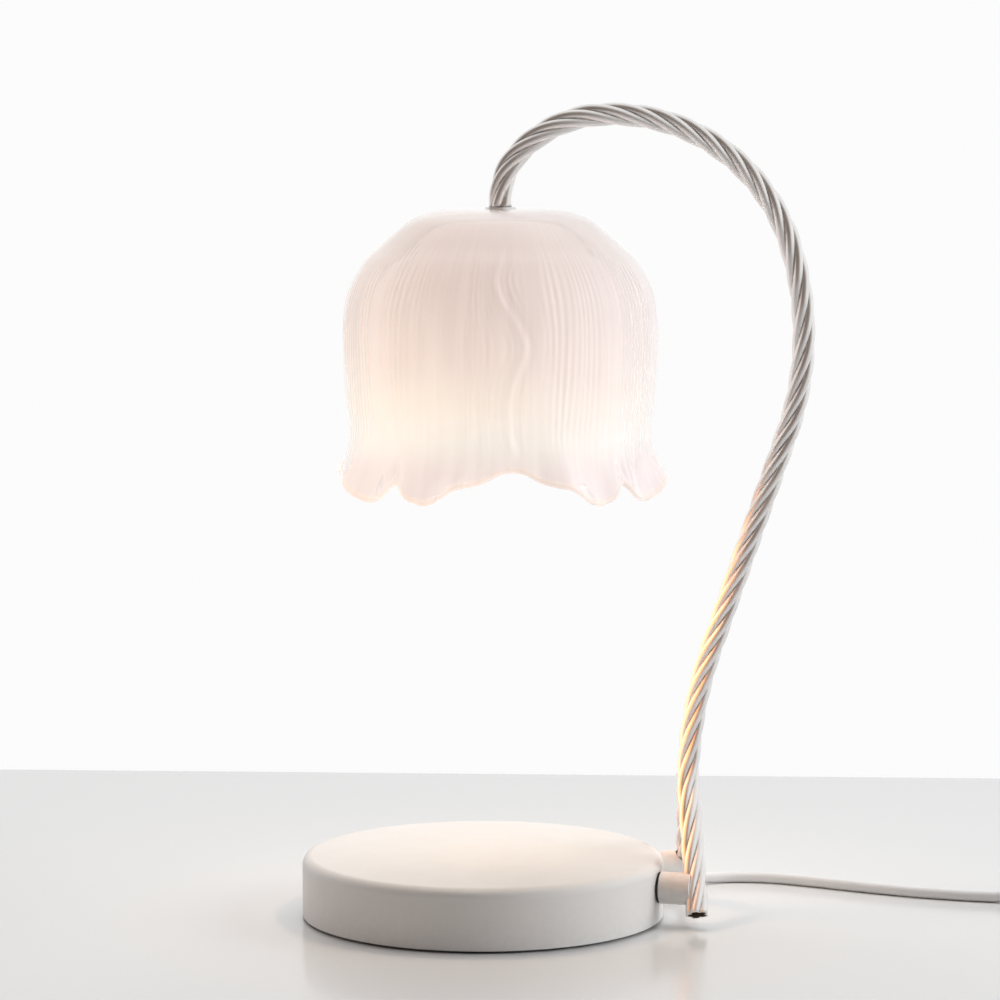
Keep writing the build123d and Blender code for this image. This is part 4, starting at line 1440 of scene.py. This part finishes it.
# ------------------------------------------------------------------ studio
@dataclass
class Studio:
    """Camera, table, world and lamps."""

    away: float = 1.568
    aside: float = 0.0071
    height: float = 0.337
    turn: float = radians(-1.2)
    down: float = radians(5.95)
    lens: float = 137.77
    edge_left: tuple[float, float] = (-0.245, 0.353)
    edge_right: tuple[float, float] = (0.25, 0.317)
    white: float = 0.972
    # Light from the back and right of the room, and from its front left
    ambient: tuple[Colour, Colour] = ((0.22, 0.217, 0.216), (0.105, 0.082, 0.07))
    # What gloss shows of the front left of the room
    mirrored: Colour = (0.18, 0.13, 0.10)
    # Share of X and of Y in how far a direction leans to the dim side, and the lean where it starts and ends
    ambient_lean: tuple[float, float] = (-0.8, -0.6)
    ambient_ends: tuple[float, float] = (-0.2, 0.5)
    mirror_lean: tuple[float, float] = (-0.55, -0.8)
    mirror_ends: tuple[float, float] = (0.1, 0.8)
    table_half: float = 1.6
    table_front: float = 1.5
    table_thick: float = 0.02
    table_tone: Colour = (0.80, 0.80, 0.80)
    table_roughness: float = 0.16
    table_specular: float = 0.28
    # Lamps that stand in for the light off the wax, which only the pieces beside it take
    warm: list[bpy.types.Object] = field(default_factory=list)

    def camera(self) -> None:
        """Set the camera at the view's angle."""
        data = bpy.data.cameras.new("camera")
        data.sensor_width = 36.0
        data.lens = self.lens
        data.clip_end = 20.0
        camera = bpy.data.objects.new("camera", data)
        place = Vector((self.aside, -self.away, self.height))
        camera.location = Matrix.Rotation(self.turn, 3, "Z") @ place
        camera.rotation_euler = (pi / 2 - self.down, 0.0, self.turn)
        bpy.context.scene.collection.objects.link(camera)
        bpy.context.scene.camera = camera

    def table(self) -> bpy.types.Object:
        """Pale glossy table whose far edge crosses the view.

        Returns:
            The table.
        """
        slope = (self.edge_right[1] - self.edge_left[1]) / (self.edge_right[0] - self.edge_left[0])
        half, front = self.table_half, -self.table_front
        back = [(x, self.edge_left[1] + slope * (x - self.edge_left[0])) for x in (half, -half)]
        top = [(-half, front), (half, front), *back]
        points = [(x, y, z) for z in (0.0, -self.table_thick) for x, y in top]
        faces = [(0, 1, 2, 3), (7, 6, 5, 4), (0, 4, 5, 1), (1, 5, 6, 2), (2, 6, 7, 3), (3, 7, 4, 0)]
        data = bpy.data.meshes.new("table")
        data.from_pydata(points, [], faces)
        table = bpy.data.objects.new("table", data)
        bpy.context.scene.collection.objects.link(table)
        material = bpy.data.materials.new("pale_table")
        material.use_nodes = True
        shader = material.node_tree.nodes["Principled BSDF"]
        shader.inputs["Base Color"].default_value = (*self.table_tone, 1.0)
        shader.inputs["Roughness"].default_value = self.table_roughness
        shader.inputs["Specular IOR Level"].default_value = self.table_specular
        data.materials.append(material)
        return table

    @staticmethod
    def dim_side(
        tree: Tree, axes: bpy.types.Node, lean: tuple[float, float], ends: tuple[float, float]
    ) -> bpy.types.NodeSocket:
        """Mask of the directions on the room's dim side.

        Args:
            tree: The world's tree.
            axes: Node that splits the direction.
            lean: Share of X and of Y in the lean.
            ends: Lean where the dim side starts, and where it is full.

        Returns:
            The mask.
        """
        across = tree.value("MULTIPLY", axes.outputs["X"], lean[0])
        along = tree.value("MULTIPLY", axes.outputs["Y"], lean[1])
        return tree.spread(tree.value("ADD", across, along), *ends)

    def world(self) -> None:
        """White where it is seen or seen through glass, darker towards the front, and dim as a light."""
        world = bpy.data.worlds.new("studio")
        world.use_nodes = True
        bpy.context.scene.world = world
        tree = Tree(world.node_tree)
        axes = tree.add("ShaderNodeSeparateXYZ")
        tree.join(tree.add("ShaderNodeTexCoord").outputs["Generated"], axes.inputs[0])
        front = self.dim_side(tree, axes, self.ambient_lean, self.ambient_ends)
        dark = self.dim_side(tree, axes, self.mirror_lean, self.mirror_ends)
        path = tree.add("ShaderNodeLightPath")
        light = tree.mix(front, *self.ambient)
        gloss = tree.mix(dark, (self.white, self.white, self.white), self.mirrored)
        seen = tree.value("MAXIMUM", path.outputs["Is Camera Ray"], path.outputs["Is Transmission Ray"])
        colour = tree.mix(path.outputs["Is Glossy Ray"], light, gloss)
        colour = tree.mix(seen, colour, (self.white, self.white, self.white))
        tree.join(colour, world.node_tree.nodes["Background"].inputs["Color"])

    @staticmethod
    def lamp(
        name: str,
        place: Point,
        aim: Point,
        size: tuple[float, float],
        power: float,
        colour: Colour,
        spread: float = 180.0,
    ) -> bpy.types.Object:
        """Add a soft rectangular lamp.

        Args:
            name: The lamp's name.
            place: Its centre.
            aim: The point it faces.
            size: Its width and height.
            power: Its power in watts.
            colour: Its colour.
            spread: How far its light fans out, in degrees.

        Returns:
            The lamp, hidden from the camera and from gloss.
        """
        data = bpy.data.lights.new(name, "AREA")
        data.spread = radians(spread)
        data.shape = "RECTANGLE"
        data.size, data.size_y = size
        data.energy = power
        data.color = colour
        lamp = bpy.data.objects.new(name, data)
        lamp.location = place
        lamp.rotation_euler = (Vector(aim) - Vector(place)).to_track_quat("-Z", "Y").to_euler()
        lamp.visible_camera = False
        lamp.visible_glossy = False
        bpy.context.scene.collection.objects.link(lamp)
        return lamp

    def lamps(self) -> None:
        """Soft light from above and behind, strips at the sides, and the bulb's warm light."""
        self.lamp(
            name="top_softbox",
            place=(-0.1, 0.6, 2.0),
            aim=(0.0, 0.0, 0.1),
            size=(1.8, 1.2),
            power=25.5,
            colour=(0.965, 0.985, 1.0),
        )
        self.lamp(
            name="right_window",
            place=(1.1, -0.1, 0.5),
            aim=(0.0, 0.0, 0.12),
            size=(0.9, 0.9),
            power=2.35,
            colour=(0.96, 0.985, 1.0),
            spread=80.0,
        )
        self.lamp(
            name="left_strip",
            place=(-1.3, 0.1, 0.5),
            aim=(0.0, 0.0, 0.15),
            size=(0.4, 0.9),
            power=2.3,
            colour=(1.0, 0.87, 0.79),
        )
        wax = self.lamp(
            name="warm_wax",
            place=(0.04, 0.0, 0.085),
            aim=(0.14, -0.01, 0.05),
            size=(0.1, 0.12),
            power=0.04,
            colour=(1.0, 0.45, 0.2),
            spread=120.0,
        )
        sheen = self.lamp(
            name="wax_sheen",
            place=(0.045, -0.03, 0.09),
            aim=(0.14, -0.01, 0.08),
            size=(0.18, 0.14),
            power=0.1,
            colour=(1.0, 0.37, 0.11),
            spread=120.0,
        )
        sheen.visible_glossy = True
        sheen.visible_diffuse = False
        self.warm = [wax, sheen]
        data = bpy.data.lights.new("bulb_beam", "SPOT")
        data.energy = 0.5
        data.color = (1.0, 0.74, 0.48)
        data.spot_size = radians(130.0)
        data.spot_blend = 0.8
        data.shadow_soft_size = 0.02
        beam = bpy.data.objects.new("bulb_beam", data)
        beam.location = (0.0073, 0.0, 0.199)
        beam.visible_glossy = False
        bpy.context.scene.collection.objects.link(beam)

    def warm_only(self, pieces: Sequence[bpy.types.Object]) -> None:
        """Let the wax's light reach only the pieces beside the candle's place.

        Args:
            pieces: Those pieces.
        """
        near = bpy.data.collections.new("beside_the_wax")
        for piece in pieces:
            near.objects.link(piece)
        for lamp in self.warm:
            lamp.light_linking.receiver_collection = near

    def build(self) -> None:
        """Set everything up."""
        bpy.context.scene.view_settings.view_transform = "Standard"
        self.camera()
        self.world()
        self.table()
        self.lamps()


def main() -> None:
    """Build the studio and the lamp, and report each piece."""
    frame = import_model()
    nodes = frame["nodes"]
    studio = Studio()
    studio.build()
    make_groups()
    box = Paintbox()
    pieces = MainsLead().build(box, nodes)
    for finish, names in NODES_BY_FINISH.items():
        for name in names:
            box.dress(nodes[name], finish)
    arm = TwistedArm().build(box)
    studio.warm_only([*arm, nodes["stub_front"], nodes["stub_rear"]])
    pieces += arm
    pieces.append(PetalShade().build(box))
    for piece in pieces:
        LOG.info("built %s", piece.name)


if __name__ == "__main__":
    logging.basicConfig(level=logging.INFO)
    main()
